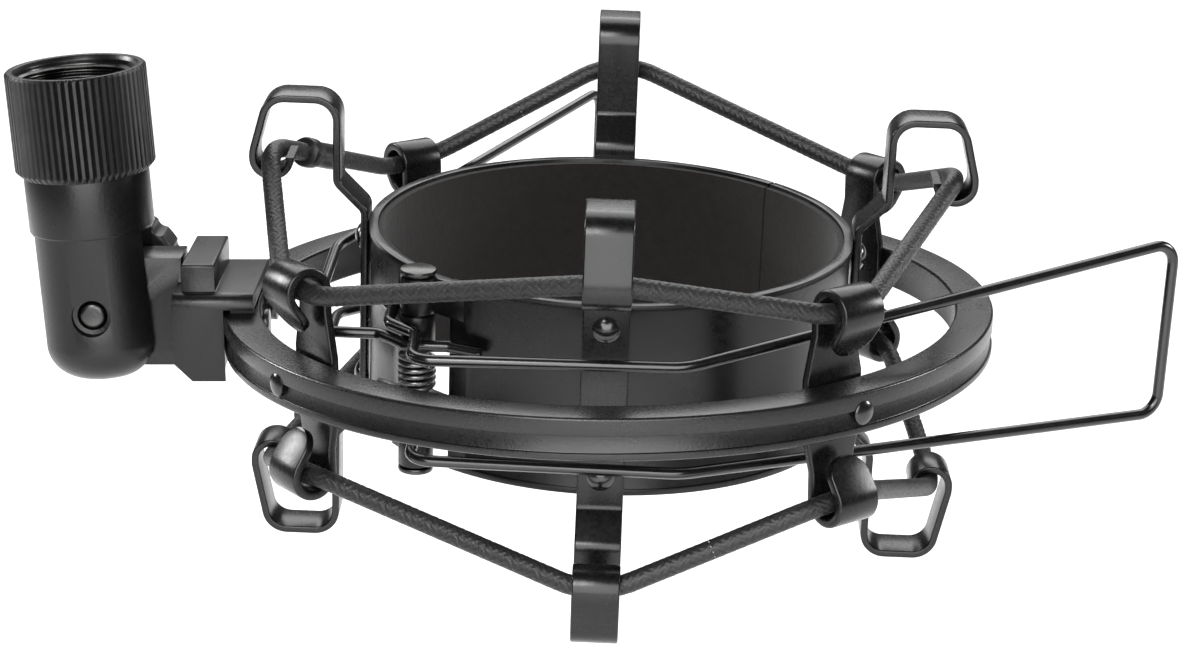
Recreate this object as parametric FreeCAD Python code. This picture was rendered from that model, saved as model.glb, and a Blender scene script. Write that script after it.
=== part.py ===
import FreeCAD, Part
import math
import os

# Spider shock mount for a large studio microphone, in millimetres.
# The origin is the centre of the outer ring, which is also the centre of the clamp basket.
# +Z is the axis of the outer ring and points to the mouth of the stand thread.
# +X points from the stand adapter, across the ring, to the end of the front handle.
# The basket hangs a little out of level in its elastic cords: its parts are modelled level
# and then turned by basket_yaw, basket_roll and basket_pitch. The adapter leans a little in its
# tilt joint: its parts are modelled upright and then turned about the pivot by adapter_lean.

os.makedirs("parts", exist_ok=True)
V = FreeCAD.Vector

# ---------------------------------------------------------------- driving dimensions
ring_outer_r = 52.5
ring_inner_r = 47.4
ring_half_height = 2.75
ring_band_height = 2.3          # plain band under the top edge
ring_groove_depth = 0.6         # undercut step below the band
ring_lip_height = 1.0           # plain band at the bottom edge
ring_chamfer = 0.25

basket_pitch = 3.0              # degrees about +X: the front hangs low, the back high
basket_roll = 2.0               # degrees about +Y: the left hangs high, the right low
basket_yaw = -1.3               # degrees about +Z
shell_outer_r = 32.6
shell_wall = 0.9
shell_half_height = 12.9
shell_rim_bead = 0.25           # rolled edge, proud of the wall at the top and bottom
shell_rim_height = 0.8
liner_thickness = 0.9
liner_setback = 0.5             # liner edge below the shell rim
liner_end_margin = 0.2          # degrees short of the shell at each end
seam_gap = 0.35                 # slit between the two shells, opposite the hinge
hinge_azimuth = 225.0
seam_azimuth = hinge_azimuth - 180.0

pin_r = 1.5
pin_clearance = 0.05
pin_centre_r = 34.4
pin_head_r = 2.3
pin_head_height = 0.7
barrel_r = 2.3
knuckle_gap = 0.3
window_half_height = 3.1        # gap between the knuckles, where the spring sits
leaf_inner_r = 32.0
leaf_outer_r = 33.4
hinge_cutback = 7.0             # degrees from the hinge to each shell's edge
leaf_lap = 5.0                  # degrees that a hinge leaf laps over its shell

spring_wire_r = 0.35
spring_mean_r = 2.15
spring_pitch = 0.85
spring_turns = 5.0
spring_leg = 5.2

strip_width = 6.0               # hook brackets
strip_thickness = 1.0
strip_standoff = 0.3            # clears the shell's rolled edge
hook_joggle_start = 14.4
hook_joggle_end = 18.2
hook_inner_leg_r = 37.2
hook_outer_leg_r = 48.5
hook_leg_flare = 2.0             # how far the outer leg leans in towards its turn
hook_corner_r = 3.0
hook_joggle_r = 1.6
hook_flare_r = 4.0
hook_cradle_play = 0.75
hook_tip_over = 0.2             # the free end stops this far above the cord's centre
hook_lean_over = 0.8            # the outer leg starts to lean this far above the cord's centre
# per hook: top, height of the upper cord, depth of the bottom, depth of the lower cord
hook_heights = {
    "right": (30.1, 21.3, 33.6, 22.6),
    "back": (32.3, 23.2, 31.0, 22.0),
    "left": (30.1, 21.3, 33.6, 22.6),
    "front": (28.9, 20.0, 27.8, 19.8),
}
rivet_z = 10.0
rivet_shank_r = 1.2
rivet_head_r = 1.75
rivet_head_height = 1.0

cord_r = 1.25
cord_bend_r = 12.0              # bends round the hooks and posts
sleeve_r = 1.8
sleeve_length = 10.0
sleeve_bulge_r = 2.15
sleeve_bulge_length = 3.0
sleeve_start = 0.24             # share of the leg from the left hook to the back left post

post_first_azimuth = 36.5
post_thickness = 1.2
post_root_width = 9.0
post_end_width = 6.4
post_root_half_height = 3.4
post_taper_end = 9.0
post_ring_gap = 0.35
post_cord_z = 12.2
post_cord_play = 0.8
post_flap_length = 1.6
post_fold_past = 35.0           # degrees past level on the cord's outer side
post_rivet_shank_r = 1.0
post_rivet_head_r = 1.4
post_rivet_head_height = 0.7
post_rivet_sink = 0.9

wire_r = 0.75                   # handles
handle_run_offset = 38.5        # distance of the straight run from the basket's axis plane
handle_knee_x = 10.0            # where a handle turns away from the basket
# the finger loops' far corners: distance out, distance past the seam side, upper and lower height
front_tip = (75.5, 5.2, 15.4, -9.2)
rear_tip = (73.8, 2.9, 12.1, -16.0)
front_root_z = 6.7
rear_root_z = 4.7
handle_knee_rise = 0.4
handle_knee_r = 8.0
handle_corner_r = 2.8
handle_bend_r = 2.2
handle_over_pin = 37.65
handle_weld_angle = 17.0
handle_lead_out = 0.3           # the lead-in beside the hinge: one point past the shell's edge,
handle_lead_along = 5.6         # one as it climbs over the pin and one past the pin
handle_climb_along = 2.0
handle_cross_along = 3.6

adapter_reach = 17.25           # from the ring's outside to the adapter's axis, at the pivot
adapter_lean = -3.1             # degrees about +Y: the mouth leans away from the ring
tube_top_r = 8.45
tube_low_r = 8.2
tube_step_z = 12.6
tube_bottom_z = -8.2
tube_bottom_fillet = 5.2
tube_bore_r = 5.4
tube_bore_floor = 14.6
slot_top_z = 12.4
collar_outer_r = 9.45
collar_bottom_z = 20.5
collar_top_z = 34.7
collar_chamfer = 0.8
thread_r = 7.47                 # minor radius of the 5/8 inch 27 stand thread
thread_length = 9.9
thread_lead_in = 0.7
running_fit = 0.05
clip_width = 0.9
clip_depth = 0.5
clip_z = 22.6

pivot_z = 1.8
pivot_bolt_r = 2.0
pivot_recess_r = 2.3
pivot_recess_depth = 1.5
bolt_nose_sink = 1.0
bolt_nose_r = 0.9
stud_in_knob = 3.0
tongue_half_width = 3.2
washer_thickness = 0.6
washer_r = 6.0
face_gap = 0.02
knob_r = 10.2
knob_thickness = 6.0
knob_gap = 0.35
knob_flutes = 16
knob_flute_r = 1.1
knob_hub_r = 5.2
knob_hub_height = 1.4
knob_edge_r = 0.8
knob_flute_offset = 0.55
knob_dish_r = 7.6
knob_dish_depth = 0.9

block_reach = 6.0               # from the ring's outside to the block's outer face
block_half_width = 10.0
block_bottom_z = -6.5
block_corner = 2.4
rib_half_width = 7.8
rib_reach = 4.9
rib_gap = 0.4                   # rib to the ring's outside
rib_top_z = 9.2
rib_edge_r = 0.4
plate_setback = 0.2             # plate edge to the ring's inside
plate_thickness = 2.0
plate_edge_r = 1.6
pad_thickness = 0.7
pad_inset = 0.9
tongue_top_z = 8.9
tongue_bottom_z = -6.3
tongue_toe = 6.0                # the underside slopes up to the round end over this length
arm_screw_y = 5.0
arm_screw_r = 1.25
arm_screw_head_r = 2.2
arm_screw_head_height = 0.8
arm_screw_depth = 6.0
arm_screw_spare = 1.4           # hole left empty beyond the screw

# ---------------------------------------------------------------- derived values
adapter_x = -(ring_outer_r + adapter_reach)
block_left_x = -(ring_outer_r + block_reach)
rib_left_x = -(ring_outer_r + rib_reach)
rib_right_x = -(ring_outer_r + rib_gap)
plate_inner_x = -(ring_inner_r + plate_setback)
shell_inner_r = shell_outer_r - shell_wall
liner_inner_r = shell_inner_r - liner_thickness
strip_inner_r = shell_outer_r + strip_standoff
strip_mid_r = strip_inner_r + strip_thickness / 2
strip_outer_r = strip_inner_r + strip_thickness
cradle_mid_r = cord_r + hook_cradle_play + strip_thickness / 2
cradle_centre_r = hook_outer_leg_r - cradle_mid_r
post_outer_face = ring_inner_r - post_ring_gap
post_mid_r = post_outer_face - post_thickness / 2
post_fold_r = cord_r + post_cord_play + post_thickness / 2
post_cord_r = post_mid_r + post_fold_r
slot_half_width = tongue_half_width + washer_thickness + 2 * face_gap
hook_names = {"right": 0.0, "back": 90.0, "left": 180.0, "front": 270.0}
post_names = ["back_right", "back_left", "front_left", "front_right"]
post_azimuths = {name: post_first_azimuth + 90.0 * i for i, name in enumerate(post_names)}


# ---------------------------------------------------------------- helpers
def polar(r, azimuth, z=0.0):
    a = math.radians(azimuth)
    return V(r * math.cos(a), r * math.sin(a), z)


def cylinder(r, z0, z1, x=0.0, y=0.0):
    return Part.makeCylinder(r, z1 - z0, V(x, y, z0))


def radial_cylinder(r, r0, r1, azimuth, z):
    """A cylinder whose axis points away from the Z axis, from radius r0 to r1."""
    return Part.makeCylinder(r, r1 - r0, polar(r0, azimuth, z), polar(1.0, azimuth))


def box(x0, x1, y0, y1, z0, z1):
    return Part.makeBox(x1 - x0, y1 - y0, z1 - z0, V(x0, y0, z0))


def turned(points, start=0.0, angle=360.0):
    """Revolve a closed outline of (radius, z) points about Z."""
    outline = [V(r, 0, z) for r, z in points]
    face = Part.Face(Part.makePolygon(outline + outline[:1]))
    solid = face.revolve(V(0, 0, 0), V(0, 0, 1), angle)
    if solid.Volume < 0:
        solid.reverse()
    solid.rotate(V(0, 0, 0), V(0, 0, 1), start)
    return solid


def rounded_path(points, radii):
    """Straight runs through the points, joined by tangent arcs at the inner ones."""
    edges = []
    here = points[0]
    for before, corner, after, radius in zip(points, points[1:], points[2:], radii):
        a = (before - corner).normalize()
        b = (after - corner).normalize()
        half = a.getAngle(b) / 2
        setback = radius / math.tan(half)
        start = corner + a * setback
        end = corner + b * setback
        middle = (a + b).normalize()
        centre = corner + middle * (radius / math.sin(half))
        edges.append(Part.LineSegment(here, start).toShape())
        edges.append(Part.Arc(start, centre - middle * radius, end).toShape())
        here = end
    edges.append(Part.LineSegment(here, points[-1]).toShape())
    return Part.Wire(edges)


def swept(path, radius):
    """A round rod along a path."""
    first = path.OrderedEdges[0]
    start = first.valueAt(first.FirstParameter)
    direction = first.tangentAt(first.FirstParameter)
    circle = Part.Wire(Part.makeCircle(radius, start, direction))
    return path.makePipeShell([circle], True, True)


def hung(shape):
    """Turn a basket part from its level place to the place where it hangs."""
    copy = shape.copy()
    copy.rotate(V(0, 0, 0), V(0, 0, 1), basket_yaw)
    copy.rotate(V(0, 0, 0), V(0, 1, 0), basket_roll)
    copy.rotate(V(0, 0, 0), V(1, 0, 0), basket_pitch)
    return copy


def hung_point(point):
    for axis, angle in ((V(0, 0, 1), basket_yaw), (V(0, 1, 0), basket_roll), (V(1, 0, 0), basket_pitch)):
        point = FreeCAD.Rotation(axis, angle).multVec(point)
    return point


def leaned(shape):
    """Turn an adapter part about the pivot."""
    copy = shape.copy()
    copy.rotate(V(adapter_x, 0, pivot_z), V(0, 1, 0), adapter_lean)
    return copy


def group(solids):
    return Part.makeCompound(solids)


def save(name, shape):
    shape.exportStep(os.path.join("parts", name + ".step"))


# ---------------------------------------------------------------- outer ring and its posts
def make_outer_ring():
    top = ring_half_height
    band_end = top - ring_band_height
    lip_start = ring_lip_height - top
    c = ring_chamfer
    outline = [
        (ring_inner_r + c, top), (ring_outer_r - c, top), (ring_outer_r, top - c),
        (ring_outer_r, band_end), (ring_outer_r - ring_groove_depth, band_end),
        (ring_outer_r - c, lip_start), (ring_outer_r, lip_start),
        (ring_outer_r, c - top), (ring_outer_r - c, -top),
        (ring_inner_r + c, -top), (ring_inner_r, c - top), (ring_inner_r, top - c),
    ]
    ring = turned(outline)
    for azimuth in post_azimuths.values():
        bore = radial_cylinder(post_rivet_shank_r + face_gap, ring_inner_r - 1, ring_outer_r + 1, azimuth, 0)
        sink = radial_cylinder(post_rivet_head_r + face_gap, ring_outer_r - post_rivet_sink,
                               ring_outer_r + 1, azimuth, 0)
        ring = ring.cut(bore).cut(sink)
    for y in (-arm_screw_y, arm_screw_y):
        bore = Part.makeCylinder(arm_screw_r + face_gap, ring_outer_r - ring_inner_r + 12,
                                 V(-ring_inner_r + 10, y, 0), V(-1, 0, 0))
        ring = ring.cut(bore)
    return ring


def make_post(azimuth):
    """A tapered plate inside the ring, with each end folded outwards over a cord."""
    fold = post_fold()
    plate = box(post_mid_r - post_thickness / 2, post_mid_r + post_thickness / 2,
                -post_root_width / 2, post_root_width / 2, -post_cord_z, post_cord_z)
    outline = [V(0, post_end_width / 2, post_cord_z), V(0, post_end_width / 2, post_taper_end),
               V(0, post_root_width / 2, post_root_half_height)]
    outline += [V(0, p.y, -p.z) for p in reversed(outline)]
    outline += [V(0, -p.y, p.z) for p in reversed(outline)]
    profile = Part.Face(Part.makePolygon(outline + outline[:1])).extrude(V(ring_outer_r, 0, 0))
    plate = plate.common(profile)
    post = plate.fuse([fold, fold.mirror(V(0, 0, 0), V(0, 0, 1))]).removeSplitter()
    post.rotate(V(0, 0, 0), V(0, 0, 1), azimuth)
    bore = radial_cylinder(post_rivet_shank_r + face_gap, post_mid_r - 3, post_mid_r + 3, azimuth, 0)
    return post.cut(bore)


def post_fold():
    """The upper end of a post: bent over the cord, past its outer side, then a round flap."""
    last = math.radians(-post_fold_past)
    start = V(post_mid_r, 0, post_cord_z)
    crown = V(post_cord_r, 0, post_cord_z + post_fold_r)
    end = V(post_cord_r + post_fold_r * math.cos(last), 0, post_cord_z + post_fold_r * math.sin(last))
    along = V(math.sin(last), 0, -math.cos(last))
    flap = end + along * post_flap_length
    path = Part.Wire([Part.Arc(start, crown, end).toShape(), Part.LineSegment(end, flap).toShape()])
    solid = Part.Face(offset_outline(path, post_thickness)).extrude(V(0, post_end_width, 0))
    solid.translate(V(0, -post_end_width / 2, 0))
    normal = V(-along.z, 0, along.x)
    lobe_start = flap - normal * (post_thickness / 2)
    lobe = Part.makeCylinder(post_end_width / 2, post_thickness, lobe_start, normal)
    return solid.fuse(lobe)


def offset_outline(path, thickness):
    """The closed outline of a strip of this thickness centred on an open path in the XZ plane."""
    sides = [path.makeOffset2D(side * thickness / 2, 0, False, True, True) for side in (1, -1)]
    loose = []
    for point in (path.OrderedVertexes[0].Point, path.OrderedVertexes[-1].Point):
        pair = [min((v.Point for v in side.Vertexes), key=lambda p: (p - point).Length) for side in sides]
        loose.append(Part.LineSegment(pair[0], pair[1]).toShape())
    return Part.Wire(Part.__sortEdges__(sides[0].Edges + sides[1].Edges + loose))


def make_post_rivet(azimuth):
    seat = ring_outer_r - post_rivet_sink
    inner_face = post_mid_r - post_thickness / 2
    shank = radial_cylinder(post_rivet_shank_r, inner_face - 0.2, seat + 0.2, azimuth, 0)
    head = radial_cylinder(post_rivet_head_r, seat, seat + post_rivet_sink + 0.2, azimuth, 0)
    tail = radial_cylinder(post_rivet_head_r, inner_face - post_rivet_head_height, inner_face, azimuth, 0)
    return shank.fuse([head, tail]).removeSplitter()


# ---------------------------------------------------------------- elastic cords
def cord_stops(side):
    """Where one cord is held, in order of azimuth: on a hook, on a post, and so on; side is 1 or -1."""
    stops = {}
    for name, azimuth in hook_names.items():
        _, upper_z, _, lower_z = hook_heights[name]
        height = upper_z if side > 0 else -lower_z
        stops[azimuth] = hung_point(polar(cradle_centre_r, azimuth, height))
    for azimuth in post_azimuths.values():
        stops[azimuth] = polar(post_cord_r, azimuth, side * post_cord_z)
    return [stops[a] for a in sorted(stops)]


def cord_corners(side):
    """The corners whose bends pass through the stops: a bend cuts inside its corner."""
    stops = cord_stops(side)
    corners = list(stops)
    for _ in range(12):
        moved = []
        for i, corner in enumerate(corners):
            a = (corners[i - 1] - corner).normalize()
            b = (corners[(i + 1) % len(corners)] - corner).normalize()
            cut_inside = cord_bend_r * (1 / math.sin(a.getAngle(b) / 2) - 1)
            moved.append(stops[i] - (a + b).normalize() * cut_inside)
        corners = moved
    return corners


def make_cord(side):
    """The whole loop, swept in two halves that meet face to face."""
    corners = cord_corners(side)
    half = len(corners) // 2
    first_end = (corners[0] + corners[-1]) * 0.5
    second_end = (corners[half - 1] + corners[half]) * 0.5
    routes = [[first_end] + corners[:half] + [second_end], [second_end] + corners[half:] + [first_end]]
    paths = [rounded_path(route, [cord_bend_r] * half) for route in routes]
    halves = [swept(path, cord_r) for path in paths]
    return halves[0].fuse(halves[1]), sum(path.Length for path in paths)


def make_sleeve(side):
    """The smooth tube that joins the cord's two ends, on the leg behind the left hook."""
    azimuths = sorted(list(hook_names.values()) + list(post_azimuths.values()))
    corners = cord_corners(side)
    hook = corners[azimuths.index(hook_names["left"])]
    post = corners[azimuths.index(post_azimuths["back_left"])]
    direction = (post - hook).normalize()
    start = hook + (post - hook) * sleeve_start
    tube = Part.makeCylinder(sleeve_r, sleeve_length, start, direction)
    bulge = Part.makeCylinder(sleeve_bulge_r, sleeve_bulge_length, start, direction)
    bore = Part.makeCylinder(cord_r + face_gap, sleeve_length + 2, start - direction, direction)
    return tube.fuse(bulge).cut(bore)


# ---------------------------------------------------------------- clamp basket
def shell_span(name):
    """First azimuth and angle of a half shell, between the hinge and the seam."""
    seam_half = math.degrees(seam_gap / 2 / shell_outer_r)
    angle = 180.0 - hinge_cutback - seam_half
    if name == "front":
        return hinge_azimuth + hinge_cutback, angle
    return seam_azimuth + seam_half, angle


def knuckle_bands(name):
    """Heights of a shell's two knuckles; the shells take turns along the pin."""
    room = shell_half_height - window_half_height
    each = (room - knuckle_gap) / 2
    outer = (shell_half_height - each, shell_half_height)
    inner = (window_half_height, window_half_height + each)
    if name == "front":
        return [outer, (-inner[1], -inner[0])]
    return [inner, (-outer[1], -outer[0])]


def make_shell(name):
    start, angle = shell_span(name)
    h = shell_half_height
    bead = shell_outer_r + shell_rim_bead
    outline = [
        (shell_inner_r, -h), (bead, -h), (bead, shell_rim_height - h),
        (shell_outer_r, shell_rim_height - h), (shell_outer_r, h - shell_rim_height),
        (bead, h - shell_rim_height), (bead, h), (shell_inner_r, h),
    ]
    shell = turned(outline, start, angle)
    pin = polar(pin_centre_r, hinge_azimuth)
    leaf_angle = hinge_cutback + leaf_lap
    leaf_start = hinge_azimuth if name == "front" else hinge_azimuth - leaf_angle
    for z0, z1 in knuckle_bands(name):
        barrel = cylinder(barrel_r, z0, z1, pin.x, pin.y)
        leaf = turned([(leaf_inner_r, z0), (leaf_outer_r, z0), (leaf_outer_r, z1), (leaf_inner_r, z1)],
                      leaf_start, leaf_angle)
        shell = shell.fuse([barrel, leaf])
    shell = shell.removeSplitter()
    shell = shell.cut(cylinder(pin_r + pin_clearance, -h - 1, h + 1, pin.x, pin.y))
    for hook in shell_hooks(name):
        for z in (-rivet_z, rivet_z):
            shell = shell.cut(radial_cylinder(rivet_shank_r + face_gap, shell_inner_r - 1,
                                              shell_outer_r + 1, hook_names[hook], z))
    return shell


def shell_hooks(name):
    return ("front", "right") if name == "front" else ("back", "left")


def make_liner(name):
    start, angle = shell_span(name)
    h = shell_half_height - liner_setback
    outer = shell_inner_r - face_gap
    return turned([(liner_inner_r, -h), (outer, -h), (outer, h), (liner_inner_r, h)],
                  start + liner_end_margin, angle - 2 * liner_end_margin)


def hook_corners(top, cradle_z):
    """Half of a hook: up the shell, out, over and down to an open cradle for the cord."""
    over = top - strip_thickness / 2
    tip_r = cradle_centre_r - cradle_mid_r
    bottom = cradle_z - cradle_mid_r
    return [
        (strip_mid_r, hook_joggle_start), (hook_inner_leg_r, hook_joggle_end),
        (hook_inner_leg_r, over), (hook_outer_leg_r - hook_leg_flare, over),
        (hook_outer_leg_r, cradle_z + hook_lean_over), (hook_outer_leg_r, bottom),
        (tip_r, bottom), (tip_r, cradle_z + hook_tip_over),
    ]


def make_hook(name):
    """One strip, riveted to the shell, bent into an open hook for a cord at each end."""
    azimuth = hook_names[name]
    top, upper_z, depth, lower_z = hook_heights[name]
    upper = [V(r, 0, z) for r, z in hook_corners(top, upper_z)]
    lower = [V(r, 0, -z) for r, z in reversed(hook_corners(depth, lower_z))]
    cradle_bend = cradle_mid_r - 0.05
    bends = [hook_joggle_r, hook_joggle_r, hook_corner_r, hook_corner_r, hook_flare_r]
    bends += [cradle_bend, cradle_bend]
    path = rounded_path(lower + upper, bends[::-1] + bends)
    hook = Part.Face(offset_outline(path, strip_thickness)).extrude(V(0, strip_width, 0))
    hook.translate(V(0, -strip_width / 2, 0))
    hook.rotate(V(0, 0, 0), V(0, 0, 1), azimuth)
    for z in (-rivet_z, rivet_z):
        hook = hook.cut(radial_cylinder(rivet_shank_r + face_gap, shell_outer_r - 1,
                                        strip_outer_r + 1, azimuth, z))
    return hook


def make_rivet(azimuth, z):
    """A domed rivet: the dome is the cap of a sphere."""
    shank = radial_cylinder(rivet_shank_r, shell_inner_r, strip_outer_r + 0.2, azimuth, z)
    ball_r = (rivet_head_r ** 2 + rivet_head_height ** 2) / (2 * rivet_head_height)
    ball = Part.makeSphere(ball_r, polar(strip_outer_r + rivet_head_height - ball_r, azimuth, z))
    slab = radial_cylinder(ball_r + 1, strip_outer_r, strip_outer_r + rivet_head_height + 1, azimuth, z)
    return shank.fuse(ball.common(slab)).removeSplitter()


def make_hinge_pin():
    centre = polar(pin_centre_r, hinge_azimuth)
    end = shell_half_height + 0.3
    pin = cylinder(pin_r, -end, end, centre.x, centre.y)
    heads = [cylinder(pin_head_r, end, end + pin_head_height, centre.x, centre.y),
             cylinder(pin_head_r, -end - pin_head_height, -end, centre.x, centre.y)]
    return pin.fuse(heads).removeSplitter()


def hinge_point(outward, along, z):
    """A point from its distance out from the basket's axis and along the tangent at the hinge."""
    return polar(outward, hinge_azimuth, z) + polar(along, hinge_azimuth + 90.0)


def make_torsion_spring():
    """Close coils round the pin, with a straight leg behind each shell's edge."""
    height = spring_pitch * spring_turns
    helix = Part.makeHelix(spring_pitch, height, spring_mean_r)
    along = V(0, 2 * math.pi * spring_mean_r, spring_pitch).normalize()
    start = V(spring_mean_r, 0, 0)
    end = V(spring_mean_r, 0, height)
    circle = Part.Wire(Part.makeCircle(spring_wire_r, start, along))
    coil = Part.Wire(helix.Edges).makePipeShell([circle], True, True)
    legs = [Part.makeCylinder(spring_wire_r, spring_leg, start, along * -1),
            Part.makeCylinder(spring_wire_r, spring_leg, end, along)]
    spring = coil.fuse(legs)
    spring.translate(V(0, 0, -height / 2))
    spring.rotate(V(0, 0, 0), V(0, 0, 1), hinge_azimuth)
    spring.translate(polar(pin_centre_r, hinge_azimuth))
    return spring


def make_handle(root_z, tip):
    """The front wire handle: its two ends are welded to the rear shell and cross over the pin."""
    weld_r = shell_outer_r + shell_rim_bead + wire_r + face_gap
    run_y = -handle_run_offset
    cross = hinge_point(handle_over_pin, handle_cross_along, root_z)
    lead = [
        hinge_point(weld_r * math.cos(math.radians(handle_weld_angle)),
                    -weld_r * math.sin(math.radians(handle_weld_angle)), root_z),
        hinge_point(weld_r + handle_lead_out, -handle_lead_along, root_z),
        hinge_point(handle_over_pin, -handle_climb_along, root_z),
        cross,
        V(cross.x, run_y, root_z),
        V(handle_knee_x, run_y, root_z + handle_knee_rise),
    ]
    bends = [handle_bend_r, handle_bend_r, handle_bend_r, handle_corner_r, handle_knee_r, handle_corner_r]
    mirrored = [V(p.x, p.y, -p.z) for p in reversed(lead)]
    tip_x, tip_y, upper_z, lower_z = tip
    ends = [V(tip_x, -tip_y, upper_z), V(tip_x, -tip_y, lower_z)]
    return swept(rounded_path(lead + ends + mirrored, bends + bends[::-1]), wire_r)


def mirrored_across_seam(shape):
    """The seam plane stands upright and holds the hinge pin and the seam."""
    return shape.mirror(V(0, 0, 0), polar(1.0, seam_azimuth + 90.0))


# ---------------------------------------------------------------- stand adapter and arm
def make_thread_collar():
    socket_top = collar_top_z - thread_length
    inner = tube_top_r + running_fit
    c = min(collar_chamfer, collar_outer_r - inner - 0.1)
    groove_half = clip_width / 2 + face_gap
    outline = [
        (inner, collar_bottom_z), (collar_outer_r - c, collar_bottom_z),
        (collar_outer_r, collar_bottom_z + c),
        (collar_outer_r, collar_top_z - 0.3), (collar_outer_r - 0.3, collar_top_z),
        (thread_r + thread_lead_in, collar_top_z), (thread_r, collar_top_z - thread_lead_in),
        (thread_r, socket_top), (inner, socket_top),
        (inner, clip_z + groove_half), (inner + clip_depth, clip_z + groove_half),
        (inner + clip_depth, clip_z - groove_half), (inner, clip_z - groove_half),
    ]
    collar = turned(outline)
    collar.translate(V(adapter_x, 0, 0))
    return collar


def make_retaining_ring():
    """A split spring ring, half in the tube's groove and half in the collar's."""
    z0 = clip_z - clip_width / 2
    z1 = clip_z + clip_width / 2
    r0 = tube_top_r - clip_depth + face_gap
    r1 = tube_top_r + running_fit + clip_depth - face_gap
    ring = turned([(r0, z0), (r1, z0), (r1, z1), (r0, z1)], 10, 340)
    ring.translate(V(adapter_x, 0, 0))
    return ring


def make_adapter_tube():
    top = collar_top_z - thread_length - 0.2
    step = tube_top_r - tube_low_r
    f = tube_bottom_fillet
    corner = V(tube_low_r - f, 0, tube_bottom_z + f)
    low = clip_z - clip_width / 2 - face_gap
    high = clip_z + clip_width / 2 + face_gap
    groove_r = tube_top_r - clip_depth
    points = [V(tube_low_r, 0, tube_bottom_z + f), V(tube_low_r, 0, tube_step_z),
              V(tube_top_r, 0, tube_step_z + step), V(tube_top_r, 0, low), V(groove_r, 0, low),
              V(groove_r, 0, high), V(tube_top_r, 0, high), V(tube_top_r, 0, top), V(0, 0, top),
              V(0, 0, tube_bottom_z), V(tube_low_r - f, 0, tube_bottom_z)]
    middle = corner + V(math.sqrt(0.5), 0, -math.sqrt(0.5)) * f
    edges = [Part.LineSegment(a, b).toShape() for a, b in zip(points, points[1:])]
    edges.append(Part.Arc(points[-1], middle, points[0]).toShape())
    tube = Part.Face(Part.Wire(edges)).revolve(V(0, 0, 0), V(0, 0, 1), 360)
    tube = tube.cut(cylinder(tube_bore_r, tube_bore_floor, top + 1))
    reach = tube_top_r + 2
    slot = box(-reach, reach, -slot_half_width, slot_half_width, tube_bottom_z - 1, slot_top_z)
    tube = tube.cut(slot)
    bolt = Part.makeCylinder(pivot_bolt_r + running_fit, 2 * reach, V(0, -reach, pivot_z), V(0, 1, 0))
    recess = Part.makeCylinder(pivot_recess_r + 0.35, pivot_recess_depth + 2,
                               V(0, -tube_low_r - 2, pivot_z), V(0, 1, 0))
    seat = box(-knob_hub_r - 0.6, knob_hub_r + 0.6, knob_seat_y(), reach, pivot_z - knob_hub_r - 0.6,
               pivot_z + knob_hub_r + 0.6)
    tube = tube.cut(bolt).cut(recess).cut(seat)
    tube.translate(V(adapter_x, 0, 0))
    return tube


def knob_seat_y():
    """The flat on the back of the tube that the knob's hub bears on."""
    return tube_low_r - knob_hub_height + 0.2


def make_pivot_bolt():
    """The knob's stud, with a round nose that shows in the recess at the front of the tube."""
    front = -tube_low_r + bolt_nose_sink
    back = knob_seat_y() + knob_hub_height + stud_in_knob
    bolt = Part.makeCylinder(pivot_bolt_r, back - front, V(adapter_x, front, pivot_z), V(0, 1, 0))
    nose = [e for e in bolt.Edges if e.BoundBox.YMax < front + 0.01]
    return bolt.makeFillet(bolt_nose_r, nose)


def make_tilt_knob():
    """A round knob with scalloped grips round its edge, moulded on to the stud."""
    seat = knob_seat_y() + face_gap
    face = seat + knob_hub_height + knob_gap
    back = face + knob_thickness
    hub = Part.makeCylinder(knob_hub_r, back - seat, V(0, seat, 0), V(0, 1, 0))
    disc = Part.makeCylinder(knob_r, knob_thickness, V(0, face, 0), V(0, 1, 0))
    rims = [e for e in disc.Edges if e.BoundBox.YLength < 0.01]
    disc = disc.makeFillet(knob_edge_r, rims)
    for i in range(knob_flutes):
        flute_start = V(knob_r + knob_flute_offset, face - 1, 0)
        flute = Part.makeCylinder(knob_flute_r, knob_thickness + 2, flute_start, V(0, 1, 0))
        flute.rotate(V(0, 0, 0), V(0, 1, 0), 360.0 * i / knob_flutes)
        disc = disc.cut(flute)
    dish = Part.makeCylinder(knob_dish_r, knob_dish_depth, V(0, back - knob_dish_depth, 0), V(0, 1, 0))
    knob = disc.cut(dish).fuse(hub).removeSplitter()
    depth = knob_seat_y() + knob_hub_height + stud_in_knob + face_gap - seat
    bore = Part.makeCylinder(pivot_bolt_r + face_gap, depth + 1, V(0, seat - 1, 0), V(0, 1, 0))
    knob = knob.cut(bore)
    knob.translate(V(adapter_x, 0, pivot_z))
    return knob


def make_friction_washers():
    """One on each side of the tongue; the tube's cheeks press on them."""
    washers = []
    for y0 in (tongue_half_width + face_gap, -tongue_half_width - face_gap - washer_thickness):
        disc = Part.makeCylinder(washer_r, washer_thickness, V(adapter_x, y0, pivot_z), V(0, 1, 0))
        hole = Part.makeCylinder(pivot_bolt_r + running_fit, washer_thickness + 2,
                                 V(adapter_x, y0 - 1, pivot_z), V(0, 1, 0))
        washers.append(disc.cut(hole))
    return group(washers)


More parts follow.
